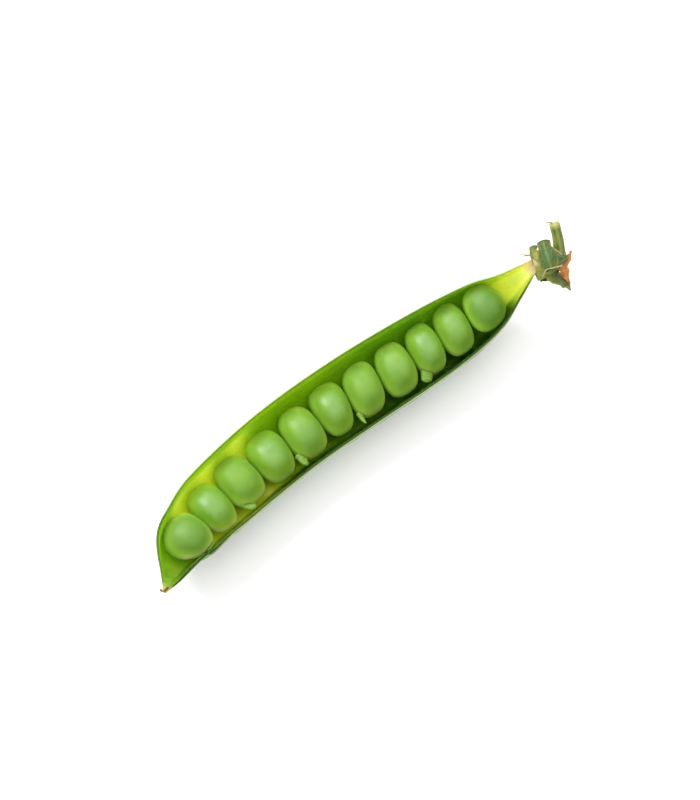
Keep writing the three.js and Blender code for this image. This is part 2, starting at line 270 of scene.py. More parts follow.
def along_rings(rings: int, sides: int) -> np.ndarray:
    """Shares from 0 to 1 along a row of rings, the same all round each ring."""
    return np.linspace(0, 1, rings)[:, None] + np.zeros(sides)


def round_ring(sides: int) -> np.ndarray:
    """Even turns round a ring, in radians, as a row."""
    return np.linspace(0, 2 * math.pi, sides, endpoint=False)[None, :]


def path_through(points: np.ndarray) -> Path:
    """The path through points, one row each."""
    return Path(tuple(tuple(point) for point in np.asarray(points).tolist()))


# ---------------------------------------------------------------------------------------- meshes


@dataclass
class Form:
    """Points, faces and values at the points of one piece or a part of it, in millimetres."""

    points: np.ndarray
    faces: list[tuple[int, ...]]
    values: Values = field(default_factory=dict)

    def joined(self, other: Form) -> Form:
        """This form with another beside it in the same mesh.

        Args:
            other: The other form.

        Returns:
            Both in one; a value that one of them lacks is 0 there.
        """
        start = len(self.points)
        faces = self.faces + [tuple(i + start for i in face) for face in other.faces]
        values = {}
        for name in sorted({*self.values, *other.values}):
            mine = self.values.get(name, np.zeros(start))
            theirs = other.values.get(name, np.zeros(len(other.points)))
            values[name] = np.concatenate([mine, theirs])
        return Form(np.vstack([self.points, other.points]), faces, values)

    def piece(self, name: str, material: bpy.types.Material, node: str, slot: str) -> bpy.types.Object:
        """Writes the form as an object that rides on the part and stands for one of its nodes.

        Args:
            name: The object's name.
            material: Its finish.
            node: The node that it replaces.
            slot: The node's material slot; not used.

        Returns:
            The object, at the origin, with its place in its mesh.
        """
        mesh = bpy.data.meshes.new(name)
        mesh.from_pydata((self.points * MM).tolist(), [], self.faces)
        mesh.validate()
        for key, numbers in self.values.items():
            mesh.attributes.new(key, "FLOAT", "POINT").data.foreach_set("value", numbers.astype(np.float32))
        mesh.shade_smooth()
        mesh.materials.append(material)
        made = bpy.data.objects.new(name, mesh)
        bpy.context.scene.collection.objects.link(made)
        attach(made, "root")
        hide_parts(node)
        return made


def together(forms: Iterable[Form]) -> Form:
    """All the forms in one mesh, in their order."""
    return reduce(Form.joined, forms)


def loft(rings: np.ndarray, values: Values) -> Form:
    """The closed skin over a row of rings.

    Neighbouring rings are joined by quads, and the first and the last ring by a fan to its middle.
    The faces are turned so that the volume that they enclose counts as positive.

    Args:
        rings: Points of the rings, as rows by sides by three.
        values: Named values at the same points, as rows by sides.

    Returns:
        The skin.
    """
    rows, sides = rings.shape[:2]
    index = np.arange(rows * sides).reshape(rows, sides)
    beside = np.roll(index, -1, axis=1)
    quads = np.stack([index[:-1], beside[:-1], beside[1:], index[1:]], axis=-1).reshape(-1, 4)
    first, last = rows * sides, rows * sides + 1
    start = np.stack([beside[0], index[0], np.full(sides, first)], axis=-1)
    end = np.stack([index[-1], beside[-1], np.full(sides, last)], axis=-1)
    points = np.vstack([rings.reshape(-1, 3), rings[0].mean(0), rings[-1].mean(0)])
    a, b, c, d = (points[quads[:, k]] for k in range(4))
    inside = np.einsum("ij,ij->i", a, np.cross(b, c)).sum() + np.einsum("ij,ij->i", a, np.cross(c, d)).sum()
    for caps in (start, end):
        a, b, c = (points[caps[:, k]] for k in range(3))
        inside += np.einsum("ij,ij->i", a, np.cross(b, c)).sum()
    if inside < 0:
        quads, start, end = quads[:, ::-1], start[:, ::-1], end[:, ::-1]
    faces = [tuple(f) for block in (quads, start, end) for f in block.tolist()]
    spread = {k: np.concatenate([v.ravel(), [v[0].mean(), v[-1].mean()]]) for k, v in values.items()}
    return Form(points, faces, spread)


def tube(path: Path, radius: np.ndarray, face: Point, values: Values) -> Form:
    """A tube along a path.

    Each ring stands square to the path, its first direction square to the path and the face.

    Args:
        path: The middle line.
        radius: Radii, as rings by sides.
        face: A direction that the path never takes.
        values: Named values, as rings by sides.

    Returns:
        The closed tube.
    """
    rings, sides = radius.shape
    at, along = path(np.linspace(0, 1, rings))
    side = unit(np.cross(np.array(face), along))
    out = np.cross(along, side)
    turn = round_ring(sides)[..., None]
    ring = side[:, None] * np.cos(turn) + out[:, None] * np.sin(turn)
    return loft(at[:, None] + ring * radius[..., None], values)


# ------------------------------------------------------------------------------------------ finishes


@dataclass(frozen=True)
class Tint:
    """A colour as it shows on a screen, 0 to 255."""

    red: int
    green: int
    blue: int

    @property
    def light(self) -> Color:
        """The colour as amounts of light, by the curve of a common screen."""
        parts = (v / 255 for v in (self.red, self.green, self.blue))
        return (*(p / 12.92 if p < 0.04 else ((p + 0.055) / 1.055) ** 2.4 for p in parts), 1.0)


Stops = tuple[tuple[float, Tint], ...]


class Sum(Enum):
    """What a Math node does."""

    ADD = "ADD"
    LESS = "SUBTRACT"
    TIMES = "MULTIPLY"


class Recipe:
    """Puts one finish together from shader nodes."""

    def __init__(self, name: str) -> None:
        """Starts an empty finish.

        Args:
            name: The material's name.
        """
        self.material = bpy.data.materials.new(name)
        self.material.use_nodes = True
        self.tree = self.material.node_tree
        self.tree.nodes.clear()

    def _node(self, kind: str) -> bpy.types.Node:
        """A new node of the kind."""
        return self.tree.nodes.new(kind)

    def _put(self, socket: Socket, value: Socket | float | Color) -> None:
        """Links a socket, or sets its number or colour.

        Args:
            socket: The socket to feed.
            value: Another socket, a number or a colour.
        """
        if isinstance(value, bpy.types.NodeSocket):
            self.tree.links.new(value, socket)
        else:
            socket.default_value = value

    def own(self, name: str) -> Socket:
        """One of the piece's own values.

        Args:
            name: The value's name in the mesh.

        Returns:
            The value.
        """
        node = self._node("ShaderNodeAttribute")
        node.attribute_name = name
        return node.outputs["Fac"]

    def place(self) -> Socket:
        """The place in space, in metres."""
        return self._node("ShaderNodeTexCoord").outputs["Object"]

    def spot(self, x: Socket, y: Socket) -> Socket:
        """A place in a plane.

        Args:
            x: Its first number.
            y: Its second number.

        Returns:
            The place.
        """
        node = self._node("ShaderNodeCombineXYZ")
        self._put(node.inputs[0], x)
        self._put(node.inputs[1], y)
        return node.outputs[0]

    def noise(self, place: Socket, scale: float, detail: float = 2.0) -> Socket:
        """Soft random patches.

        Args:
            place: Where they are read.
            scale: How many there are in one unit of the place.
            detail: How many finer layers they have.

        Returns:
            A value from 0 to 1.
        """
        node = self._node("ShaderNodeTexNoise")
        self._put(node.inputs["Vector"], place)
        node.inputs["Scale"].default_value = scale
        node.inputs["Detail"].default_value = detail
        return node.outputs["Fac"]

    def net(self, place: Socket, scale: float) -> Socket:
        """A net of the borders between scattered cells.

        Args:
            place: Where it is read.
            scale: How many cells there are in one unit of the place.

        Returns:
            The distance from the nearest border, 0 on it.
        """
        node = self._node("ShaderNodeTexVoronoi")
        node.feature = "DISTANCE_TO_EDGE"
        self._put(node.inputs["Vector"], place)
        node.inputs["Scale"].default_value = scale
        return node.outputs["Distance"]

    def sum(self, what: Sum, a: Socket | float, b: Socket | float, held: bool = False) -> Socket:
        """A sum of two numbers.

        Args:
            what: Which sum.
            a: The first number.
            b: The second number.
            held: Whether the result is held between 0 and 1.

        Returns:
            The result.
        """
        node = self._node("ShaderNodeMath")
        node.operation = what.value
        node.use_clamp = held
        self._put(node.inputs[0], a)
        self._put(node.inputs[1], b)
        return node.outputs[0]

    def span(
        self, value: Socket, low: float, high: float, to_low: float = 0.0, to_high: float = 1.0
    ) -> Socket:
        """A value moved smoothly from one span to another, and held at its ends.

        Args:
            value: The value.
            low: Where the first span starts.
            high: Where it ends.
            to_low: What its start becomes.
            to_high: What its end becomes.

        Returns:
            The moved value.
        """
        node = self._node("ShaderNodeMapRange")
        node.interpolation_type = "SMOOTHSTEP"
        self._put(node.inputs["Value"], value)
        for name, number in zip(("From Min", "From Max", "To Min", "To Max"), (low, high, to_low, to_high)):
            node.inputs[name].default_value = number
        return node.outputs[0]

    def shades(self, value: Socket, stops: Stops) -> Socket:
        """Colours along a value.

        Args:
            value: The value, from 0 to 1.
            stops: The tints, each with its place on the value.

        Returns:
            The colour, blended smoothly between the tints.
        """
        node = self._node("ShaderNodeValToRGB")
        ramp = node.color_ramp
        ramp.interpolation = "B_SPLINE"
        while len(ramp.elements) < len(stops):
            ramp.elements.new(0.5)
        for element, (at, tint) in zip(ramp.elements, stops):
            element.position = at
            element.color = tint.light
        self._put(node.inputs["Fac"], value)
        return node.outputs["Color"]

    def mix(self, share: Socket, a: Socket | Color, b: Socket | Color) -> Socket:
        """Two colours mixed.

        Args:
            share: How much of the second there is, from 0 to 1.
            a: The first colour.
            b: The second colour.

        Returns:
            The mixed colour.
        """
        node = self._node("ShaderNodeMix")
        node.data_type = "RGBA"
        self._put(node.inputs[0], share)
        first, second = (socket for socket in node.inputs if socket.type == "RGBA")
        self._put(first, a)
        self._put(second, b)
        return next(socket for socket in node.outputs if socket.type == "RGBA")

    def lay(self, color: Socket | Color, tint: Tint, share: Socket) -> Socket:
        """The colour with a tint laid over it by a share."""
        return self.mix(share, color, tint.light)

    def part(self, value: Socket, by: Socket | float) -> Socket:
        """A part of a value: the two multiplied."""
        return self.sum(Sum.TIMES, value, by)

    def relief(self, *layers: tuple[Socket, float]) -> Socket:
        """Fine relief in layers, one on top of the other.

        Args:
            layers: Heights from 0 to 1, each with its depth in millimetres.

        Returns:
            The surface's direction.
        """
        normal = None
        for height, depth in layers:
            node = self._node("ShaderNodeBump")
            node.inputs["Strength"].default_value = 1.0
            node.inputs["Distance"].default_value = depth * MM
            self._put(node.inputs["Height"], height)
            if normal is not None:
                self._put(node.inputs["Normal"], normal)
            normal = node.outputs["Normal"]
        return normal

    def finish(
        self,
        color: Socket,
        roughness: Socket | float,
        normal: Socket,
        flesh: Socket | float = 0.0,
        depth: float = 1.0,
        reach: Point = (0.6, 1.0, 0.2),
        wax: Socket | float = 0.0,
        wax_roughness: float = 0.3,
        fuzz: float = 0.0,
        gloss: Socket | float = 0.5,
        glow: float = 0.0,
    ) -> bpy.types.Material:
        """Ends the finish.

        Args:
            color: Colour all over.
            roughness: Roughness all over.
            normal: Relief.
            flesh: Share of the light that goes into the flesh, 0 to 1.
            depth: How far it goes there, in millimetres.
            reach: How far red, green and blue go, as shares of the depth.
            wax: Strength of the waxy coat.
            wax_roughness: Roughness of the coat.
            fuzz: Strength of the dusty sheen.
            gloss: Specular level.
            glow: How strongly it shines by itself, in white.

        Returns:
            The material.
        """
        shader = self._node("ShaderNodeBsdfPrincipled")
        self._put(shader.inputs["Base Color"], color)
        self._put(shader.inputs["Roughness"], roughness)
        self._put(shader.inputs["Normal"], normal)
        self._put(shader.inputs["Subsurface Weight"], flesh)
        shader.inputs["Subsurface Scale"].default_value = depth * MM
        shader.inputs["Subsurface Radius"].default_value = reach
        self._put(shader.inputs["Coat Weight"], wax)
        shader.inputs["Coat Roughness"].default_value = wax_roughness
        shader.inputs["Sheen Weight"].default_value = fuzz
        self._put(shader.inputs["Specular IOR Level"], gloss)
        shader.inputs["Emission Color"].default_value = WHITE
        shader.inputs["Emission Strength"].default_value = glow
        out = self._node("ShaderNodeOutputMaterial")
        self.tree.links.new(shader.outputs[0], out.inputs["Surface"])
        return self.material


@dataclass(frozen=True)
class ValveSkin:
    """The pod's finish: waxy and net-veined outside, a smooth translucent lining with a painted yellow glow
    and painted shade, thin pale rims, partly a painted highlight.

    The linings' tints run along the pod, from 0 at the beak to 1 at the stalk. Patches and specks
    are counted in a metre, fibres and the net's cells in a millimetre.
    """

    lining: Stops = (
        (0.0, Tint(112, 152, 14)),
        (0.08, Tint(120, 164, 8)),
        (0.2, Tint(130, 164, 4)),
        (0.34, Tint(126, 164, 4)),
        (0.5, Tint(124, 154, 3)),
        (0.66, Tint(86, 134, 2)),
        (0.84, Tint(92, 136, 2)),
        (0.9, Tint(130, 166, 22)),
        (0.95, Tint(206, 206, 90)),
    )
    # The front valve's lining: painted shade makes it darker green than the back one, and painted light lifts
    # it to yellow along the first third from the beak and at the neck.
    front_lining_painted_light: Stops = (
        (0.0, Tint(84, 124, 4)),
        (0.1, Tint(106, 146, 6)),
        (0.2, Tint(206, 208, 40)),
        (0.33, Tint(196, 204, 30)),
        (0.44, Tint(110, 150, 20)),
        (0.55, Tint(96, 130, 16)),
        (0.66, Tint(52, 96, 12)),
        (0.84, Tint(70, 116, 12)),
        (0.91, Tint(100, 152, 8)),
        (0.96, Tint(190, 196, 60)),
    )
    outside: Tint = Tint(86, 140, 44)
    outside_dark: Tint = Tint(58, 112, 30)
    vein: Tint = Tint(128, 170, 80)
    fleck: Tint = Tint(120, 166, 70)
    # the pale rim lines: partly the rims' own colour, partly a painted highlight
    rim: Tint = Tint(196, 202, 164)
    # darkens the fibres, and is the tint of the painted shade on and beside the rims and on the front lining
    shade: Tint = Tint(30, 60, 6)
    # the tint of the painted yellow glow on the lining
    yellow: Tint = Tint(226, 236, 112)
    cream: Tint = Tint(210, 186, 138)
    dry: Tint = Tint(72, 44, 40)
    straw: Tint = Tint(196, 172, 60)
    patch_scale: float = 160
    speck_scale: float = 1500
    fibre_scale: float = 1.2
    net_scale: float = 1.1
    net_share: float = 0.28
    vein_share: float = 0.35
    firmness: float = 0.85
    depth: float = 3.6
    reach: Point = (0.88, 1.0, 0.25)
    wax: float = 0.1
    wax_roughness: float = 0.35
    gloss: float = 0.5

    def material(self) -> bpy.types.Material:
        """Builds the finish on the pod's own values.

        The lining and the outside are built apart and joined by the value inner. The other tints
        lie over both by the pod's values: blush is a painted yellow glow, shade paints shade beside
        the rims and on the front lining and darkens the rims at the beak, and pale gives the rims' pale
        lines, partly a painted highlight. Where the pod is firm it has less flesh, wax and gloss.

        Returns:
            The material.
        """
        r = Recipe("pod_skin")
        place = r.place()
        along = r.own("along")
        patches = r.noise(place, self.patch_scale, 3)
        speck = r.noise(place, self.speck_scale, 2)
        spread = r.spot(r.own("along_mm"), r.own("girth_mm"))
        fibre = r.noise(spread, self.fibre_scale, 3)
        # the front valve's lining takes its painted tints of light and shade
        lining = r.mix(r.own("front"), r.shades(along, self.lining), r.shades(along, self.front_lining_painted_light))
        lining = r.lay(lining, self.shade, r.span(fibre, 0.45, 0.75, 0, 0.3))
        # painted light: a yellow glow on the lining where it lies in shade
        lining = r.lay(lining, self.yellow, r.part(r.own("blush"), r.span(speck, 0.3, 0.6, 0.8, 1)))
        veins = r.span(r.net(spread, self.net_scale), 0.0, 0.16, 1, 0)
        skin = r.lay(self.outside.light, self.outside_dark, r.span(patches, 0.35, 0.65))
        skin = r.lay(skin, self.vein, r.part(veins, self.net_share))
        skin = r.lay(skin, self.vein, r.part(r.own("vein"), self.vein_share))
        skin = r.lay(skin, self.fleck, r.span(speck, 0.52, 0.75, 0, 0.3))
        color = r.mix(r.own("inner"), skin, lining)
        # painted shade on and beside the rims, on the front lining and below the front rim; it also darkens
        # the rims at the beak
        color = r.lay(color, self.shade, r.own("shade"))
        # pale rim lines, partly their own colour and partly a painted highlight
        color = r.lay(color, self.rim, r.own("pale"))
        color = r.lay(color, self.cream, r.part(r.own("collar"), r.span(speck, 0.3, 0.6, 0.7, 1)))
        color = r.lay(color, self.straw, r.own("straw"))
        color = r.lay(color, self.dry, r.own("dry"))
        flesh = r.sum(Sum.LESS, 1.0, r.part(r.own("firm"), self.firmness))
        return r.finish(
            color,
            r.span(patches, 0.3, 0.7, 0.36, 0.5),
            r.relief((veins, 0.03), (speck, 0.035), (fibre, 0.04)),
            flesh=flesh,
            depth=self.depth,
            reach=self.reach,
            wax=r.part(flesh, self.wax),
            wax_roughness=self.wax_roughness,
            gloss=r.part(flesh, self.gloss),
        )


@dataclass(frozen=True)
class PeaSkin:
    """A pea's finish: satin, fleshy, faintly mottled, with painted light at its limb and lower front edge.
    Patches and grains are counted in a metre.
    """

    body: Tint = Tint(107, 150, 28)
    deep: Tint = Tint(94, 142, 36)
    # painted light: a pale crescent on the lower front edge of the first peas
    edge: Tint = Tint(250, 250, 180)
    # painted reflection of the white surround, all round the limb
    limb: Tint = Tint(208, 255, 98)
    warm: Tint = Tint(124, 158, 20)
    fleck: Tint = Tint(128, 166, 60)
    stripe: Tint = Tint(78, 118, 24)
    dark: Tint = Tint(80, 126, 12)
    scar: Tint = Tint(104, 74, 30)
    patch_scale: float = 260
    fine_scale: float = 900
    grain_scale: float = 2600
    warm_share: float = 0.4
    dull_roughness: float = 0.2
    depth: float = 3.2
    reach: Point = (0.75, 1.0, 0.35)
    wax: float = 0.32
    wax_roughness: float = 0.36
    gloss: float = 0.58

    def material(self) -> bpy.types.Material:
        """Builds the finish on the peas' own values.

        The values are dark, limb, warm, stripe, edge, scar and dull. Each but the last lays its tint
        over the mottled body, and a dull pea is rougher and has less wax. limb is a painted
        reflection all round the limb, and edge a painted crescent of light on the lower front edge.

        Returns:
            The material.
        """
        r = Recipe("pea_skin")
        place = r.place()
        patches = r.noise(place, self.patch_scale, 3)
        grain = r.noise(place, self.grain_scale, 2)
        fine = r.noise(place, self.fine_scale, 3)
        color = r.lay(self.body.light, self.deep, r.span(patches, 0.35, 0.68))
        color = r.lay(color, self.fleck, r.span(fine, 0.5, 0.8, 0, 0.3))
        color = r.lay(color, self.dark, r.own("dark"))
        # painted reflection: paler all round the limb
        color = r.lay(color, self.limb, r.own("limb"))
        color = r.lay(color, self.warm, r.part(r.own("warm"), self.warm_share))
        color = r.lay(color, self.stripe, r.own("stripe"))
        # painted light: the pale crescent on the lower front edge
        color = r.lay(color, self.edge, r.part(r.own("edge"), r.span(patches, 0.3, 0.6, 0.6, 1)))
        color = r.lay(color, self.scar, r.own("scar"))
        dull = r.own("dull")
        return r.finish(
            color,
            r.sum(Sum.ADD, r.span(patches, 0.3, 0.7, 0.38, 0.48), r.part(dull, self.dull_roughness)),
            r.relief((grain, 0.012), (fine, 0.03)),
            flesh=1.0,
            depth=self.depth,
            reach=self.reach,
            wax=r.part(r.sum(Sum.LESS, 1.0, dull, held=True), self.wax),
            wax_roughness=self.wax_roughness,
            gloss=self.gloss,
        )


@dataclass(frozen=True)
class SepalSkin:
    """The calyx's finish: dull blue-green leaf with pale veins, yellow edges and brown, dry spots.

    Patches, specks and the net's cells are counted in a metre.
    """

    leaf: Tint = Tint(72, 98, 52)
    shade: Tint = Tint(36, 58, 26)
    vein: Tint = Tint(110, 132, 74)
    yellow: Tint = Tint(146, 146, 58)
    brown: Tint = Tint(98, 66, 30)
    cream: Tint = Tint(206, 176, 148)
    hairy: Tint = Tint(132, 142, 62)
    patch_scale: float = 420
    speck_scale: float = 2600
    net_scale: float = 1300
    vein_share: float = 0.7
    flesh: float = 0.15
    depth: float = 0.5
    gloss: float = 0.25

    def material(self) -> bpy.types.Material:
        """Builds the finish on the calyx's own values.

        The values are vein, gold, dry, hairy and cream. Patches move gold up and down, specks do so
        with dry, which stays away where the value is near 0, and each lays its tint over the leaf.

        Returns:
            The material.
        """
        r = Recipe("sepal_skin")
        place = r.place()
        patches = r.noise(place, self.patch_scale, 3)
        speck = r.noise(place, self.speck_scale, 3)
        net = r.net(place, self.net_scale)
        color = r.lay(self.leaf.light, self.shade, r.span(patches, 0.35, 0.65))
        color = r.lay(color, self.vein, r.span(net, 0.0, 0.14, 0.3, 0))
        color = r.lay(color, self.vein, r.part(r.own("vein"), self.vein_share))
        gold = r.sum(Sum.ADD, r.own("gold"), r.span(patches, 0.3, 0.7, -0.25, 0.25), held=True)
        color = r.lay(color, self.yellow, gold)
        dry = r.sum(Sum.ADD, r.own("dry"), r.span(speck, 0.35, 0.65, -0.4, 0.3), held=True)
        color = r.lay(color, self.brown, r.sum(Sum.TIMES, dry, r.span(r.own("dry"), 0.05, 0.3), held=True))
        color = r.lay(color, self.hairy, r.own("hairy"))
        color = r.lay(color, self.cream, r.part(r.own("cream"), r.span(speck, 0.3, 0.55, 0.55, 1)))
        rough = r.span(patches, 0.3, 0.7, 0.5, 0.7)
        relief = r.relief((net, 0.05), (speck, 0.04))
        return r.finish(color, rough, relief, flesh=self.flesh, depth=self.depth, gloss=self.gloss)


@dataclass(frozen=True)
class StalkSkin:
    """The stalk's finish: pale olive, ridged lengthways, yellow and fibrous where it tore.

    Patches and specks are counted in a metre.
    """

    body: Tint = Tint(112, 122, 44)
    ridge: Tint = Tint(68, 90, 22)
    patch: Tint = Tint(130, 134, 46)
    torn: Tint = Tint(176, 172, 104)
    brown: Tint = Tint(120, 70, 40)
    patch_scale: float = 500
    speck_scale: float = 2400
    flesh: float = 0.25
    depth: float = 0.7

    def material(self) -> bpy.types.Material:
        """Builds the finish on the stalk's own values ridge, torn and dry.

        Returns:
            The material.
        """
        r = Recipe("stalk_skin")
        place = r.place()
        patches = r.noise(place, self.patch_scale, 3)
        speck = r.noise(place, self.speck_scale, 3)
        color = r.lay(self.body.light, self.ridge, r.own("ridge"))
        color = r.lay(color, self.patch, r.span(patches, 0.4, 0.7, 0, 0.5))
        color = r.lay(color, self.torn, r.own("torn"))
        color = r.lay(color, self.brown, r.own("dry"))
        rough = r.span(patches, 0.3, 0.7, 0.45, 0.62)
        relief = r.relief((patches, 0.06), (speck, 0.03))
        return r.finish(color, rough, relief, flesh=self.flesh, depth=self.depth)


@dataclass(frozen=True)
class PetalSkin:
    """The withered petals' finish: papery orange tan, darker at its folds and edges.

    Patches and specks are counted in a metre.
    """

    body: Tint = Tint(168, 96, 30)
    light: Tint = Tint(192, 134, 60)
    dark: Tint = Tint(104, 56, 26)
    patch_scale: float = 700
    speck_scale: float = 3200
    vein_share: float = 0.6
    flesh: float = 0.1
    depth: float = 0.4
    fuzz: float = 0.2

    def material(self) -> bpy.types.Material:
        """Builds the finish on the petals' own values vein and dry.

        Returns:
            The material.
        """
        r = Recipe("petal_skin")
        place = r.place()
        patches = r.noise(place, self.patch_scale, 4)
        speck = r.noise(place, self.speck_scale, 3)
        color = r.lay(self.body.light, self.light, r.span(patches, 0.35, 0.65))
        color = r.lay(color, self.dark, r.part(r.own("vein"), self.vein_share))
        dry = r.sum(Sum.ADD, r.own("dry"), r.span(speck, 0.4, 0.65, -0.4, 0.4), held=True)
        color = r.lay(color, self.dark, r.sum(Sum.TIMES, dry, r.own("dry"), held=True))
        rough = r.span(patches, 0.3, 0.7, 0.6, 0.85)
        relief = r.relief((patches, 0.08), (speck, 0.04))
        return r.finish(color, rough, relief, flesh=self.flesh, depth=self.depth, fuzz=self.fuzz)


# ---------------------------------------------------------------------------------------- the pod


@dataclass(frozen=True)
class PodFrame:
    """Where the pod's mouth runs, how wide and deep the pod is, and the outline of its valves."""

    tip_x: float = -49.0
    neck_x: float = 49.4
    mouth_z: float = 13.1
    tip_rise: float = 2.6  # of the mouth, from the middle of the pod to the beak
    neck_rise: float = 1.7
    wall: float = 0.85
    keel_wall: float = 1.45
    thin_end: float = 0.9  # half width or depth at which half of the wall is left
    pea_bulge: float = 0.22
    bulge_spread: float = 2.4
    bulge_width: float = 6.75  # half width from which the peas push in full
    solid_tip: Pair = (0.4, 6.0)  # how far from the beak the hollow starts, and is whole
    neck_taper: float = 7.0
    neck_hollow: float = 0.15
    keel_slope: float = 10.0
    keel_shift: float = -0.15  # as a share of the half width
    nudge: float = 0.1  # to either side of a place, for the slope there
    bottom_reach: float = 0.86  # how far the outline's inner control points are,
    side_reach: float = 0.6  # as shares of the half width and of the depth
    side_shift: Profile = Profile((
        (-49, -10.4), (-46, -8.6), (-40, -4.65), (-36, -3.4), (-30, -1.95), (-12, -0.7), (5, -1.4),
        (27, -3.6), (36, -4.3), (42, -4.3), (49.4, -3.75),
    ))
    half_width: Profile = Profile((
        (-49, 0.35), (-46, 2.15), (-40, 5.45), (-36, 6.4), (-30, 7.15), (-20, 7.55), (-10, 7.7),
        (8, 7.7), (22, 7.25), (31, 6.4), (37, 5.25), (42, 3.35), (49.4, 0.95),
    ))
    depth: Profile = Profile((
        (-49, 0.8), (-46, 4.8), (-40, 10.9), (-30, 14.1), (-15, 13.9), (0, 13.6), (15, 13.8),
        (28, 14.1), (35, 12.6), (40, 9.6), (45, 5.0), (49.4, 1.9),
    ))
    roll: Profile = Profile(((-49, 7), (-10, 7), (20, 7.5), (30, 12), (38, 16), (49.4, 18)))
    rim_flare: Profile = Profile(((-49, 14), (-40, 9), (-34, 5), (-26, 5), (22, 5), (37, -8), (49.4, 0)))
    pea_floor: Profile = Profile((
        (-49, 5.0), (-40, 7.6), (-30, 10.7), (-15, 11.3), (8, 11.3), (22, 11.0), (33, 9.9), (40, 6.2),
    ))
    pea_faces: Pairs = (
        (-41.95, 0), (-33.6, 0.04), (-26.4, 0.03), (-18.4, -0.03), (-10.5, 0.06), (-2.8, -0.02),
        (4.5, 0.14), (11.9, 0.12), (19.3, 0.04), (25.9, 0.06), (32.6, 0.05), (40.7, 0),
    )

    def mouth(self, x: np.ndarray) -> tuple[np.ndarray, np.ndarray, np.ndarray]:
        """The middle of the mouth at x, with the directions across it and out of it.

        The middle follows the side shift and rises as a parabola to both ends. Both directions are
        turned round the pod's run by the roll.

        Args:
            x: Places along the pod.

        Returns:
            The middles and the two unit directions, one row each.
        """
        x = np.atleast_1d(np.asarray(x, dtype=float))
        lift = np.where(x < 0, self.tip_rise * (x / self.tip_x) ** 2, self.neck_rise * (x / self.neck_x) ** 2)
        at = np.stack([x, self.side_shift(x), self.mouth_z + lift], axis=-1)
        slope = self.side_shift(x + self.nudge) - self.side_shift(x - self.nudge)
        along = unit(np.stack([np.full_like(x, 2 * self.nudge), slope, np.zeros_like(x)], axis=-1))
        level = np.stack([-along[:, 1], along[:, 0], np.zeros_like(x)], axis=-1)
        turn = np.radians(self.roll(x))[:, None]
        cos, sin = np.cos(turn), np.sin(turn)
        return at, level * cos + UPRIGHT * sin, UPRIGHT * cos - level * sin

    def place(self, x: np.ndarray, across: np.ndarray, below: np.ndarray) -> np.ndarray:
        """Points so far across and below the mouth.

        Args:
            x: Places along the pod.
            across: How far to the back valve.
            below: How far below the mouth.

        Returns:
            The points in space, in the shape of all three together.
        """
        shape = np.broadcast_shapes(np.shape(x), np.shape(across), np.shape(below))
        x, across, below = (np.broadcast_to(v, shape).ravel() for v in (x, across, below))
        at, side, out = self.mouth(x)
        return (at + side * across[:, None] - out * below[:, None]).reshape(*shape, 3)

    def outline(self, x: np.ndarray, width: np.ndarray, deep: np.ndarray, t: np.ndarray) -> np.ndarray:
        """Both valves' outlines across the pod, from the front rim at t = -1 to the back one at t = 1.

        Each is a cubic with four control points: the keel at t = 0, one out along the bottom at the
        keel's slope, one down from the rim along its flare, and the rim.

        Args:
            x: Places along the pod, as a column.
            width: Half widths there, as a column.
            deep: Depths there, as a column.
            t: Places on the outlines, as a row.

        Returns:
            How far across and how far below the mouth, in the last axis.
        """
        slope, flare = math.radians(self.keel_slope), np.radians(self.rim_flare(x))
        side, t = np.where(t < 0, -1, 1), np.abs(t)
        keel = side * self.keel_shift * width
        bottom, upright = self.bottom_reach * width - keel, self.side_reach * deep
        corners = (
            (keel, deep),
            (keel + bottom * math.cos(slope), deep - bottom * math.sin(slope)),
            (width - upright * np.sin(flare), upright * np.cos(flare)),
            (width, np.zeros_like(width)),
        )
        weights = ((1 - t) ** 3, 3 * t * (1 - t) ** 2, 3 * t * t * (1 - t), t**3)
        across, below = (sum(w * c[k] for w, c in zip(weights, corners)) for k in (0, 1))
        return np.stack([side * across, below], axis=-1)

    def hollow(self, x: np.ndarray) -> np.ndarray:
        """How much of the hollow there is at x: a smooth step up from 0 at the beak, and down at the neck."""
        tip = rise(x, self.tip_x + self.solid_tip[0], self.tip_x + self.solid_tip[1])
        return tip * (1 - (1 - self.neck_hollow) * rise(x, self.neck_x - self.neck_taper, self.neck_x))

    def inner_size(self, x: np.ndarray) -> tuple[np.ndarray, np.ndarray]:
        """The hollow's size: the pod's less its wall, which thins out where the pod is narrow.

        Args:
            x: Places along the pod.

        Returns:
            Half width and depth of the hollow.
        """
        w, d = self.half_width(x), self.depth(x)
        wall = self.wall * w / (w + self.thin_end)
        keel = self.keel_wall * d / (d + self.thin_end)
        return w - wall, (d - keel) * self.hollow(x)

    def middles(self) -> np.ndarray:
        """Where the middle of each pea is along the pod: halfway between its two faces."""
        edges = np.array(self.pea_faces)[:, 0]
        return (edges[1:] + edges[:-1]) / 2

    def bulge(self, x: np.ndarray) -> np.ndarray:
        """How far the peas push the valves out at x: a hill at each pea, lower where the pod is narrow."""
        push = sum(hill(x, middle, self.bulge_spread) for middle in self.middles())
        return self.pea_bulge * push * np.minimum(1, self.half_width(x) / self.bulge_width)


@dataclass(frozen=True)
class Places:
    """Where the points of the pod's rings lie on its valves, as stations by points of a ring."""

    valve: np.ndarray  # -1 at the front rim, 0 at the keel, 1 at the back rim
    inner: np.ndarray  # 0 outside, 1 inside, and between them over a rim
    on_rim: np.ndarray  # 1 on a rim
    over_rim: np.ndarray  # from 0 at the outer side of a rim to 1 at its inner side
    edge: np.ndarray  # distance down the wall from the nearest corner of a rim
    girth: np.ndarray  # distance round the ring, with the inside far from the outside

    @property
    def is_front(self) -> np.ndarray:
        """Whether a point is on the front valve."""
        return self.valve < 0

    @property
    def skin(self) -> np.ndarray:
        """1 on the outside, off the rims."""
        return (1 - self.on_rim) * (self.inner < 0.5)

    @property
    def lining(self) -> np.ndarray:
        """1 on the inside, off the rims."""
        return (1 - self.on_rim) * (self.inner > 0.5)


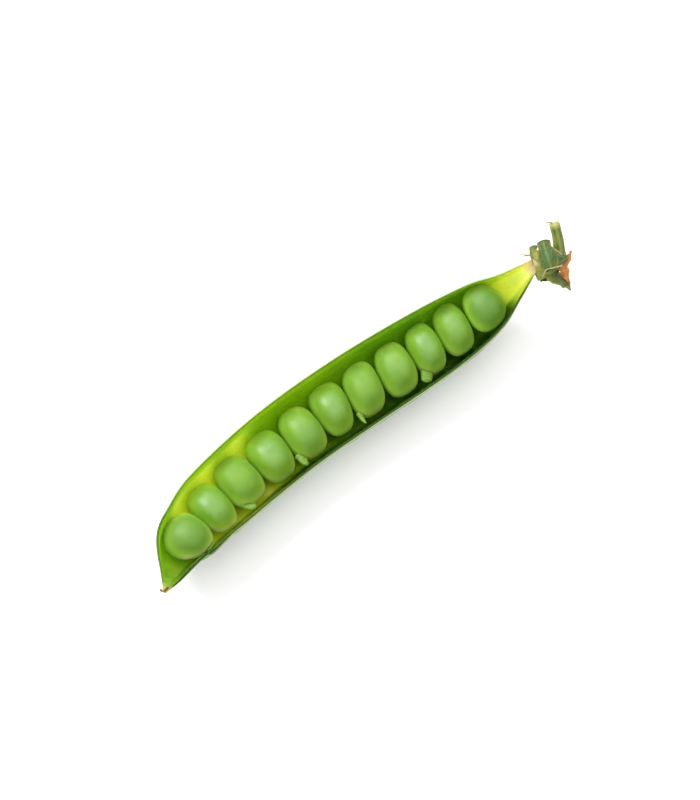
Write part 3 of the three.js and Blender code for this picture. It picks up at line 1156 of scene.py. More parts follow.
@dataclass(frozen=True)
class Tones:
    """How strong the pod's special colours are, and where; most of them are painted light and shade.

    A line has its middle and its spread over the rim. A name that ends in "span" holds where a tone
    starts and where it is whole: along the pod, over the rim, down the wall or round a valve.
    """

    full_width: float = 3.0
    tip_span: Pair = (-33.0, -39.0)
    # The pale lines: partly the rims' own colour, partly a painted highlight along the rims.
    pale: float = 0.85
    pale_lost: float = 0.85  # at the tip
    front_line: Pair = (0.1, 0.11)
    second_line: Pair = (0.6, 0.08)
    second_share: float = 0.15
    back_line: Pair = (0.3, 0.25)
    back_share: float = 0.7
    corner_spread: float = 0.12
    # Painted shade: on the rims' inner sides, beside the rims, on the front lining and on the outer wall
    # below the front rim.
    front_rim_shade: float = 0.95
    front_rim_shade_span: Pair = (0.16, 0.28)
    back_rim_shade: float = 0.9
    back_rim_shade_span: Pair = (0.75, 0.95)
    beside_rim_shade: float = 0.9
    near_spread: float = 0.5
    wall_start: Pair = (0.16, 0.2)  # how far from the keel at the tip, and how much more further on
    wall_start_span: Pair = (-44.0, -38.0)
    wall_fade: float = 0.16
    wall_tip_span: Pair = (-47.5, -44.0)
    wall_neck_span: Pair = (43.0, 40.0)
    front_wall_shade: Pair = (0.75, 0.25)  # how dark at the tip, and how much more further on
    front_wall_shade_span: Pair = (-26.0, -14.0)
    under_rim_shade: float = 0.75
    under_top_span: Pair = (0.1, 0.3)
    under_end_span: Pair = (3.5, 1.5)
    # the rims at the beak, and the outer wall beside them, darker
    tip_dark: float = 0.6
    # Painted light: a yellow glow above the faces between the first peas, on the back valve towards the beak,
    # and along the trough at both ends.
    spot: float = 0.66
    spot_spread: float = 3.0
    spotted_faces: tuple[int, int] = (1, 4)
    spot_span: Pair = (1.0, 0.8)
    glow: float = 0.14
    glow_neck_span: Pair = (-8.0, -24.0)
    glow_tip_span: Pair = (-42.0, -34.0)
    trough_span: Pair = (0.65, 0.3)
    tip_trough_glow: float = 0.17
    tip_trough_glow_spans: tuple[Pair, Pair] = ((-46.0, -44.5), (-39.0, -42.0))
    neck_trough_glow: float = 0.85
    neck_trough_glow_span: Pair = (39.0, 44.0)
    # Where the lining takes the front valve's painted tints of light and shade.
    front_span: Pair = (-0.1, 0.25)
    front_shift: float = 0.5
    front_shift_span: Pair = (38.0, 44.0)
    collar_span: Pair = (46.2, 48.0)
    straw_span: Pair = (-47.2, -48.8)
    firm_span: Pair = (2.0, 0.5)

    def _pale_and_highlight(self, at: Places) -> np.ndarray:
        """The pale lines, partly the rims' own colour and partly a painted highlight: two hills over the
        front rim, one over the back one, and one at the corners.

        Args:
            at: Where the points lie.

        Returns:
            Strengths, which don't fade yet where the pod is narrow.
        """
        front = hill(at.over_rim, *self.front_line) + self.second_share * hill(at.over_rim, *self.second_line)
        line = np.where(at.is_front, front, self.back_share * hill(at.over_rim, *self.back_line))
        return np.maximum(line * at.on_rim, hill(at.edge, 0, self.corner_spread) * at.skin)

    def _painted_shade(self, x: np.ndarray, at: Places) -> np.ndarray:
        """The painted shade on the rims between their pale lines, and on the lining.

        Painted shade runs down the wall beside each rim, and covers the front lining but for the part next to
        the keel. The strongest of these counts.

        Args:
            x: Places along the pod, as a column.
            at: Where the points lie.

        Returns:
            Strengths, which don't fade yet where the pod is narrow.
        """
        front = self.front_rim_shade * rise(at.over_rim, *self.front_rim_shade_span)
        back = self.back_rim_shade * rise(at.over_rim, *self.back_rim_shade_span)
        on_rim = np.where(at.is_front, front, back) * at.on_rim
        near = self.beside_rim_shade * hill(at.edge, 0, self.near_spread) * at.lining
        start = self.wall_start[0] + self.wall_start[1] * rise(x, *self.wall_start_span)
        wall = rise(-at.valve, start, start + self.wall_fade) * rise(x, *self.wall_tip_span)
        wall = wall * rise(x, *self.wall_neck_span) * (at.inner > 0.5)
        wall = wall * (self.front_wall_shade[0] + self.front_wall_shade[1] * rise(x, *self.front_wall_shade_span))
        return np.maximum(on_rim, np.maximum(near, wall))

    def _painted_yellow_glow(self, frame: PodFrame, x: np.ndarray, at: Places) -> np.ndarray:
        """The painted glow on the lining: yellow light painted where light would shine through the thin wall
        into the shaded hollow.

        There is a hill of it at each face between the first peas, a weak glow on the back valve
        towards the tip, and some along the trough at both ends.

        Args:
            frame: The pod's frame.
            x: Places along the pod, as a column.
            at: Where the points lie.

        Returns:
            Strengths, from 0 to 1.
        """
        down = np.abs(at.valve)
        first, last = self.spotted_faces
        spots = sum(hill(x, face, self.spot_spread) for face, _ in frame.pea_faces[first:last])
        glow = np.where(at.is_front, 0.0, self.glow)
        glow = glow * rise(x, *self.glow_neck_span) * rise(x, *self.glow_tip_span)
        start, end = self.tip_trough_glow_spans
        ends = self.tip_trough_glow * rise(x, *start) * rise(x, *end)
        ends = ends + self.neck_trough_glow * rise(x, *self.neck_trough_glow_span)
        walls = np.clip(glow + self.spot * spots, 0, 1) * (rise(down, *self.spot_span) * at.lining)
        return np.maximum(walls, ends * (rise(down, *self.trough_span) * at.lining))

    def strengths(self, frame: PodFrame, x: np.ndarray, at: Places) -> Values:
        """How strong each of the pod's special colours is.

        Pale lines run along the rims, partly their own colour and partly a painted highlight, with painted
        shade between them and down the wall beside them. The front lining has painted shade but for its
        deepest part, the outer wall below the front rim has painted shade, the rims are darker at the beak,
        and the lining has a painted yellow glow. The rims are firm. Straw colours the beak, and cream the
        neck where it goes into the calyx.

        Args:
            frame: The pod's frame.
            x: Places along the pod, as a column.
            at: Where the points lie.

        Returns:
            The named strengths, from 0 to 1.
        """
        wide = np.minimum(1, frame.half_width(x) / self.full_width)
        tip = rise(x, *self.tip_span)
        # painted shade on the outer wall below the front rim
        under = rise(at.edge, *self.under_top_span) * rise(at.edge, *self.under_end_span) * at.skin
        tip_line = np.maximum(at.on_rim, hill(at.edge, 0, self.near_spread) * (at.inner < 0.5)) * tip
        dark = self._painted_shade(x, at) * wide + self.under_rim_shade * under * at.is_front * wide
        dark = dark + self.tip_dark * tip_line
        # how much of the front valve's painted lining tints a point takes
        front = -at.valve - self.front_shift * rise(x, *self.front_shift_span)
        return {
            "front": rise(front, *self.front_span),
            "pale": self.pale * (self._pale_and_highlight(at) * wide * (1 - self.pale_lost * tip)),
            "shade": np.clip(dark, 0, 1),
            "blush": self._painted_yellow_glow(frame, x, at),
            "collar": rise(x, *self.collar_span) + 0 * at.valve,
            "straw": rise(x, *self.straw_span) + 0 * at.valve,
            "firm": np.maximum(at.on_rim, rise(at.edge, *self.firm_span) * (at.inner < 0.5)),
        }


@dataclass(frozen=True)
class Pod:
    """Both valves in one shell, joined along the keel, with a beak and the dry hook of its style."""

    frame: PodFrame = PodFrame()
    tones: Tones = Tones()
    stations: int = 470
    half_steps: int = 36
    rim_steps: int = 11
    end_crowding: float = 0.35
    rim_round: float = 0.29
    rim_power: float = 0.7
    full_rim: float = 4.0  # half width from which groove and lip have their full size
    thinned: Pair = (0.25, 0.5)  # how much of the wall is gone at the front rim and at the back one
    thin_below: float = 1.6
    groove: Pair = (0.52, 0.16)  # middle and spread over the rim
    groove_depth: float = 0.12
    back_groove: float = 0.4
    lip: float = 0.1
    lip_place: Pair = (0.35, 0.3)  # middle and spread below the rim
    keel_ridge: float = 0.2
    keel_spread: float = 0.05
    swell: float = 0.07
    swell_size: float = 7.0
    full_swell: float = 5.0  # half width from which the valves swell in full
    calm_edge: float = 2.5
    apart: Pair = (9.0, 5.0)  # how far a valve's girth and its two sides reach in the grain
    inside_girth: float = 40.0
    vein_height: float = 0.035
    vein_inside: float = -0.4
    vein_width: float = 0.16
    vein_cell: Pair = (4.2, 2.6)
    vein_slant: Pair = (0.55, 12.0)
    fibre_slant: Pair = (0.5, 10.0)
    style: Path = Path((
        (-47.9, -10.0, 15.1), (-48.7, -10.1, 15.4), (-49.3, -9.85, 15.8), (-49.4, -9.4, 16.2),
    ))
    style_radii: tuple[float, ...] = (0.42, 0.36, 0.32, 0.3)
    style_taper: float = 0.2
    grain: Grain = Grain(11)

    def _stations(self) -> np.ndarray:
        """Places along the pod: even ones, moved part of the way to those of half a wave.

        Returns:
            The places, closer together at the pod's ends, as a column.
        """
        even = np.linspace(0, 1, self.stations)
        crowded = 0.5 - 0.5 * np.cos(math.pi * even)
        share = even + (crowded - even) * self.end_crowding
        return (self.frame.tip_x + (self.frame.neck_x - self.frame.tip_x) * share)[:, None]

    def _steps(self) -> tuple[np.ndarray, np.ndarray]:
        """Places on the valves, -1 to 1 from rim to rim, and over a rim, 0 to 1, both as rows."""
        across = np.linspace(-1, 1, 2 * self.half_steps + 1)[None, :]
        return across, np.linspace(0, 1, self.rim_steps + 2)[None, 1:-1]

    def _rings(self, x: np.ndarray) -> np.ndarray:
        """The smooth rings, without the relief.

        A ring goes along the outside from the front rim over the keel to the back rim, over that
        rim, back along the inside, and over the front rim. Both skins follow the valves' outline
        and go out where a pea pushes, by the square of a wave from rim to keel. Towards the rims the
        inside goes out and thins the wall. The rim is a low arch with a groove along it.

        Args:
            x: Places along the pod, as a column.

        Returns:
            How far across and how far below the mouth, in the last axis.
        """
        f, (t, q) = self.frame, self._steps()
        w, d = f.half_width(x), f.depth(x)
        inner_w, inner_d = f.inner_size(x)
        thick = w - inner_w
        push = f.bulge(x) * np.sin(math.pi * np.abs(t)) ** 2
        skins = []
        for width, deep in ((w, d), (inner_w, inner_d)):
            flat = f.outline(x, width, deep, t)
            skins.append(np.stack([flat[..., 0] + np.sign(t) * push, flat[..., 1]], axis=-1))
        outside, inside = skins[0], skins[1][:, ::-1]
        outside[..., 1] += self.keel_ridge * hill(t, 0, self.keel_spread)
        back_to_front = t[:, ::-1]
        thin = np.where(back_to_front > 0, self.thinned[1], self.thinned[0])
        thin = thin * rise(inside[..., 1], self.thin_below, 0.0)
        inside[..., 0] += np.sign(back_to_front) * thin * thick
        arch = self.rim_round * thick * np.sin(math.pi * q) ** self.rim_power
        dip = self.groove_depth * hill(q, *self.groove) * np.minimum(1, w / self.full_rim)
        back = np.stack([w - thick * (1 - self.thinned[1]) * q, -arch + self.back_groove * dip], axis=-1)
        front = np.stack([thick * (1 - self.thinned[0]) * q - w, -arch + dip], axis=-1)[:, ::-1]
        return np.concatenate([outside, back, inside, front], axis=1)

    def _places(self, ring: np.ndarray) -> Places:
        """Where the points of the rings lie on the valves.

        Distances round a ring are summed over its sides, and those from a rim's corners are their
        differences from the corners' own.

        Args:
            ring: The smooth rings.

        Returns:
            The places.
        """
        t, q = self._steps()
        zeros = np.zeros((self.stations, 1))

        def everywhere(*rows: np.ndarray) -> np.ndarray:
            """The rows for the outside, back rim, inside and front rim, one after the other."""
            return np.concatenate([zeros + row for row in rows], axis=1)

        on_rim = everywhere(0 * t, 1 + 0 * q, 0 * t, 1 + 0 * q)
        inner = everywhere(0 * t, q, 1 + 0 * t, q[:, ::-1])
        steps = np.linalg.norm(np.diff(ring, axis=1), axis=-1)
        run = np.concatenate([zeros, np.cumsum(steps, axis=1)], axis=1)
        wide, over = t.size, q.size
        corners = (0, wide - 1, wide + over, 2 * wide + over - 1)
        edge = np.min([np.abs(run - run[:, [c]]) for c in corners], axis=0)
        return Places(
            valve=everywhere(t, 1 + 0 * q, -t, -1 - 0 * q),
            inner=inner,
            on_rim=on_rim,
            over_rim=everywhere(0 * t, q, 0 * t, q[:, ::-1]),
            edge=np.where(on_rim > 0, 0.0, edge),
            girth=np.where(inner > 0.5, self.inside_girth + run, run),
        )

    def _veins(self, x: np.ndarray, at: Places) -> np.ndarray:
        """The veins: the borders of scattered cells, stretched along the pod and slanting.

        Args:
            x: Places along the pod, as a column.
            at: Where the points lie.

        Returns:
            1 in the middle of a vein and 0 off it.
        """
        slope, reach = self.vein_slant
        long, wide = self.vein_cell
        slant = np.stack([(x + slope * np.abs(at.valve) * reach) / long, at.girth / wide], axis=-1)
        return rise(self.grain.borders(slant), self.vein_width, 0.0) * (1 - at.on_rim)

    def _relief(self, x: np.ndarray, at: Places, vein: np.ndarray) -> np.ndarray:
        """How far the points stand out of the smooth rings, in millimetres.

        Soft unevenness and the veins fade to nothing at the rims and where the pod is narrow. The
        lip is a low hill just below each rim, on the outside.

        Args:
            x: Places along the pod, as a column.
            at: Where the points lie.
            vein: The veins.

        Returns:
            The heights.
        """
        w = self.frame.half_width(x)
        spots = np.stack([x + 0 * at.valve, at.valve * self.apart[0], at.inner * self.apart[1]], axis=-1)
        free = rise(at.edge, 0.0, self.calm_edge) * np.minimum(1, w / self.full_swell)
        soft = self.grain(spots, self.swell_size, 2) * self.swell * free
        relief = soft + vein * self.vein_height * np.where(at.inner > 0.5, self.vein_inside, 1) * free
        return relief + self.lip * hill(at.edge, *self.lip_place) * at.skin * np.minimum(1, w / self.full_rim)

    def shell(self) -> Form:
        """The shell: a row of closed rings, each moved square to itself by its relief.

        Nothing of it goes below the ground.

        Returns:
            The closed shell.
        """
        f, x = self.frame, self._stations()
        ring = self._rings(x)
        at = self._places(ring)
        vein = self._veins(x, at)
        ahead = np.roll(ring, -1, axis=1) - np.roll(ring, 1, axis=1)
        square = unit(np.stack([-ahead[..., 1], ahead[..., 0]], axis=-1))
        ring = ring + square * self._relief(x, at, vein)[..., None]
        points = f.place(x, ring[..., 0], ring[..., 1])
        points[..., 2] = np.maximum(points[..., 2], 0)
        slope, reach = self.fibre_slant
        values = self.tones.strengths(f, x, at) | {
            "along": (x - f.tip_x) / (f.neck_x - f.tip_x) + 0 * at.valve,
            "along_mm": x + slope * np.abs(at.valve) * reach,
            "girth_mm": at.girth,
            "inner": at.inner,
            "vein": vein,
        }
        return loft(points, values)

    def hook(self) -> Form:
        """The dry end of the style: a thin curved tube, straw-coloured and dark at its round tip.

        Its radius goes evenly through its values, tapers, and closes by a square root at the tip.

        Returns:
            The closed hook.
        """
        share = along_rings(24, 12)
        radius = between(share, self.style_radii)
        radius = radius * (1 - self.style_taper * share) * np.sqrt(np.clip((1.02 - share) * 8, 0.05, 1))
        return tube(self.style, radius, (0, 0.2, 1), {"straw": 1 + 0 * share, "dry": rise(share, 0.5, 0.8)})

    def build(self) -> None:
        """Makes the pod."""
        together((self.shell(), self.hook())).piece("pod_shell", ValveSkin().material(), "pod", "pod")
        log.info("pod built")


# ------------------------------------------------------------------------------------------ the peas


@dataclass(frozen=True)
class PeaSize:
    """One pea: half width, shift to the back valve, how strong the painted light on its lower front edge is,
    how dark and how dull it is.
    """

    half_width: float
    shift: float
    edge: float
    dark: float = 0.0
    dull: float = 0.0


@dataclass(frozen=True)
class Stub:
    """The short stalk by which a pea hung: its path as (x, across, below the mouth), and its size."""

    pea: int
    path: tuple[Point, Point, Point]
    wide: Point
    thick: Point
    folds: float
    scar: float = 0.0


@dataclass(frozen=True)
class PeaRow:
    """The eleven peas, each pressed flat by its neighbours, and the stubs that five of them kept."""

    frame: PodFrame = PodFrame()
    sizes: tuple[PeaSize, ...] = (
        PeaSize(4.7, 0.0, 1.0, 0.75, 0.7), PeaSize(5.15, -0.05, 0.9), PeaSize(5.25, 0.4, 0.5, 0.2, 0.9),
        PeaSize(5.25, 0.0, 0.2), PeaSize(5.35, -0.05, 0.1, 0.1, 0.5), PeaSize(5.25, 0.4, 0.1, 0.1),
        PeaSize(5.3, 0.25, 0.1, 0.2, 0.9), PeaSize(5.3, 0.2, 0.1, 0.1, 0.5), PeaSize(5.2, 0.2, 0.2),
        PeaSize(5.15, 0.2, 0.1, 0.1, 0.4), PeaSize(4.6, 0.0, 0.0, 1.0, 0.6),
    )
    height: float = 0.94
    pressed: float = 2.8
    free: float = 2.05
    stubs: tuple[Stub, ...] = (
        Stub(
            1, ((-38.6, -3.9, 3.5), (-36.95, -4.6, 2.9), (-35.6, -4.4, 2.9)), (0.5, 0.5, 0.2),
            (0.4, 0.28, 0.15), 0.3,
        ),
        Stub(
            3, ((-25.0, -3.9, 5.2), (-24.4, -5.1, 4.5), (-23.4, -5.6, 4.1)), (0.8, 0.75, 0.4),
            (0.55, 0.45, 0.25), 0.3, 1.0,
        ),
        Stub(
            5, ((-9.9, -3.4, 5.4), (-10.2, -4.9, 4.6), (-10.2, -6.0, 4.0)), (1.1, 0.85, 0.4),
            (0.8, 0.55, 0.3), 0.8,
        ),
        Stub(
            7, ((4.6, -3.4, 5.4), (4.4, -4.7, 4.7), (4.4, -5.9, 4.1)), (0.65, 0.45, 0.22),
            (0.55, 0.4, 0.2), 0.2,
        ),
        Stub(
            9, ((20.5, -3.5, 5.2), (19.5, -4.8, 4.4), (18.9, -5.55, 3.8)), (1.25, 1.15, 0.9),
            (0.9, 0.7, 0.5), 1.0,
        ),
    )
    rings: int = 84
    sides: int = 96
    swell: float = 0.06
    swell_size: float = 4.0
    warm_size: float = 5.0
    grain_apart: Pair = (40.0, 90.0)  # how far one pea's grain is from the next one's
    outline_steps: int = 3000
    fold_count: float = 5.0
    fold_bend: float = 0.6
    fold_height: float = 0.06
    grain: Grain = Grain(23)

    def _half_outline(self, power: float, count: int) -> np.ndarray:
        """A quarter of a pea's outline, from its equator to its pole.

        Along and radius are the cosine and sine of a turn, both raised to 2 over the power, taken
        at even steps of length.

        Args:
            power: 2 for a round pea, more for one that is pressed flat.
            count: How many places.

        Returns:
            Along from 0 to 1, and radius from 1 to 0.
        """
        turn = np.linspace(math.pi / 2, 0, self.outline_steps)
        along = np.clip(np.cos(turn), 0, 1) ** (2 / power)
        radius = np.clip(np.sin(turn), 0, 1) ** (2 / power)
        run = np.concatenate([[0], np.cumsum(np.hypot(np.diff(along), np.diff(radius)))])
        even = np.linspace(0, run[-1], count)
        return np.stack([np.interp(even, run, along), np.interp(even, run, radius)])

    def _below(self, i: int) -> float:
        """How far the middle of a pea is below the mouth: the depth of its floor less half its height."""
        floor = float(self.frame.pea_floor(self.frame.middles()[i]))
        return floor - self.sizes[i].half_width * self.height

    def body(self, i: int) -> Form:
        """A pea: a row of rings round the pod's run.

        Rings follow the quarter outlines to both poles, at a power that is higher on a pressed side.
        Each ring leans as the face that its side presses on. Soft unevenness moves all points.

        Args:
            i: Which pea, from the beak.

        Returns:
            The closed pea.
        """
        size, f = self.sizes[i], self.frame
        (start, start_lean), (end, end_lean) = f.pea_faces[i], f.pea_faces[i + 1]
        half = (end - start - GAP) / 2
        count = self.rings // 2
        tipward = self._half_outline(self.free if i == 0 else self.pressed, count)
        stalkward = self._half_outline(self.free if i == len(self.sizes) - 1 else self.pressed, count)
        along = np.concatenate([-tipward[0, ::-1], stalkward[0, 1:]])[1:-1, None]
        radius = np.concatenate([tipward[1, ::-1], stalkward[1, 1:]])[1:-1, None]
        lean = start_lean + (end_lean - start_lean) * (1 + along) / 2
        turn = round_ring(self.sides)
        across = size.half_width * radius * np.cos(turn)
        up = size.half_width * self.height * radius * np.sin(turn)
        middle = float(f.middles()[i])
        local = np.stack([half * along + 0 * turn, across, up], axis=-1)
        soft_apart, warm_apart = self.grain_apart
        soft = 1 + self.swell / size.half_width * self.grain(local + soft_apart * i, self.swell_size, 2)
        shift = half * along * soft + lean * across
        points = f.place(middle + shift, across * soft + size.shift, self._below(i) - up * soft)
        warm = 0.5 + 0.5 * self.grain(local + warm_apart * i, self.warm_size)
        way = unit(local / np.array([half, size.half_width, size.half_width * self.height]))
        to_front = np.clip(-0.35 * way[..., 0] - way[..., 1], 0, 1)
        # painted reflection of the white surround: paler all round the limb, more so towards the front
        limb = rise(way[..., 2], 0.8, 0.1) * (0.65 + 0.25 * rise(to_front, 0.0, 0.6))
        # painted light: a pale crescent on the lower front edge, strongest on the first peas
        edge = size.edge * rise(to_front, 0.3, 0.8) * hill(way[..., 2], 0.12, 0.24)
        return loft(points, {
            "warm": warm,
            "edge": edge,
            "limb": limb,
            "dark": size.dark + 0 * across,
            "dull": size.dull + 0 * across,
        })

    def stub(self, stub: Stub) -> Form:
        """The short flat stalk of a pea, from the pea towards the front valve.

        Ovals follow a low arch through three points of the pod's own frame. Their width and thickness
        go smoothly through three values, they close to a blunt end, and low folds run round them.

        Args:
            stub: Which stub.

        Returns:
            The closed stub.
        """
        x, across, below = (np.array(v) for v in zip(*stub.path))
        points = self.frame.place(x, across, below)
        rings, sides = 40, 48
        share, turn = along_rings(rings, sides), round_ring(sides)
        wide, thick = between(share, stub.wide), between(share, stub.thick)
        blunt = np.sqrt(np.clip(1 - rise(share, 0.8, 1.0) ** 2, 0.04, 1))
        oval = wide * thick / np.hypot(thick * np.cos(turn), wide * np.sin(turn)) * blunt
        fold = 0.5 + 0.5 * np.cos(2 * math.pi * self.fold_count * share + self.fold_bend * np.sin(turn))
        values = {
            "dark": 0.6 + 0 * share,
            "dull": 1 + 0 * share,
            "stripe": 0.8 * stub.folds * rise(fold, 0.6, 0.2) * rise(share, 0.2, 0.4),
            "warm": 0.8 + 0 * share,
            "scar": stub.scar * rise(share, 0.85, 0.95),
        }
        radius = oval * (1 + self.fold_height * stub.folds * fold)
        return tube(path_through(points), radius, (0.1, 0.0, 1.0), values)

    def build(self) -> None:
        """Makes the peas."""
        material = PeaSkin().material()
        for i in range(len(self.sizes)):
            node = f"pea_{i + 1:02d}"
            stubs = [self.stub(stub) for stub in self.stubs if stub.pea == i + 1]
            together([self.body(i), *stubs]).piece(f"{node}_body", material, node, "pea")
            log.info("%s built", node)


# ------------------------------------------------------------------------------- calyx, stalk, flower


@dataclass(frozen=True)
class Blade:
    """A thin leaf-like blade: its rib's path, the way its outer face looks, and how it is shaped."""

    rib: Path
    face: Point
    width: float
    cup: float
    wave: float
    waves: float
    thickness: float = 0.62
    ragged: float = 0.0
    gold: float = 0.0
    dry: float = 0.0
    seed: int = 1
    foot: float = 0.22
    tip: float = 0.3
    edge_lag: float = 2.0
    rows: int = 56
    sides: int = 64
    squareness: Pair = (0.8, 0.5)  # powers of the cross-section's wave, across and up
    thin_edge: float = 0.35
    bite_size: float = 0.9
    crease_size: float = 1.3
    patch_size: float = 1.6
    side_veins: float = 6.0
    side_vein_slant: float = 1.6
    side_vein_share: float = 0.35
    vein_height: float = 0.1

    def form(self) -> Form:
        """The blade as a row of flat oval rings across its rib.

        The half width swells as the part of a half wave from the foot on. The cross-section is a
        squared oval. Points fall off the rib by the cup and rise in waves to the edges, by the
        square of their share of the half width. Veins raise the outer face, and raggedness eats
        into the edges.

        Returns:
            The closed blade.
        """
        t = np.linspace(0, 1, self.rows)
        at, along = self.rib(t)
        side = unit(np.cross(np.array(self.face, dtype=float), along))
        out = np.cross(along, side)
        grain = Grain(self.seed)
        t = t[:, None]
        turn = round_ring(self.sides)
        share = np.sign(np.cos(turn)) * np.abs(np.cos(turn)) ** self.squareness[0]
        height = np.sign(np.sin(turn)) * np.abs(np.sin(turn)) ** self.squareness[1]
        off = np.abs(share)
        level = 0 * t + 0 * turn
        swell = np.sin(math.pi * (self.foot + (1 - self.foot) * t))
        half = np.maximum(self.width / 2 * swell, self.tip)
        spot = np.stack([9 * t + 0 * turn, np.sign(share) * 3 + 0 * t, level], axis=-1)
        bite = 1 - self.ragged * rise(off, 0.4, 1) * (0.5 + 0.5 * grain(spot, self.bite_size, 2))
        phase = 2 * math.pi * self.waves * t + np.where(share > 0, 0, self.edge_lag)
        ripple = self.wave * np.minimum(1, half) * np.sin(phase)
        fall = (self.cup * half - ripple) * share**2
        spot = np.stack([7 * t + 0 * turn, 3 * share + 0 * t, level], axis=-1)
        crease = 0.5 * grain(spot, self.crease_size, 2)
        slant = (t * self.side_veins - self.side_vein_slant * off) % 1
        side_vein = hill(slant, 0.5, 0.1) * rise(off, 0.03, 0.15) * rise(off, 1.0, 0.8)
        vein = np.maximum(hill(share, 0, 0.13), self.side_vein_share * side_vein) * rise(t, 1.0, 0.85)
        thin = 1 - self.thin_edge * rise(off, 0.5, 1)
        lift = height * self.thickness / 2 * thin + crease * self.wave * 0.5 * off
        lift = lift + self.vein_height * vein * (height > 0) - fall
        points = at[:, None] + side[:, None] * (half * share * bite)[..., None]
        points = points + out[:, None] * lift[..., None]
        edge = rise(off, 0.72, 1.0)
        end = rise(t, 0.75, 1.0) + 0 * turn
        patch = rise(grain(points, self.patch_size, 2), 0.1, 0.8)
        values = {
            "vein": vein * (height > -0.2),
            "gold": np.clip(self.gold * (0.4 + 0.6 * patch) + 0.75 * edge, 0, 1),
            "dry": np.clip(self.dry * (0.35 * patch + 0.6 * edge + 0.8 * end) + 0.2 * edge, 0, 1),
        }
        return loft(points, values)


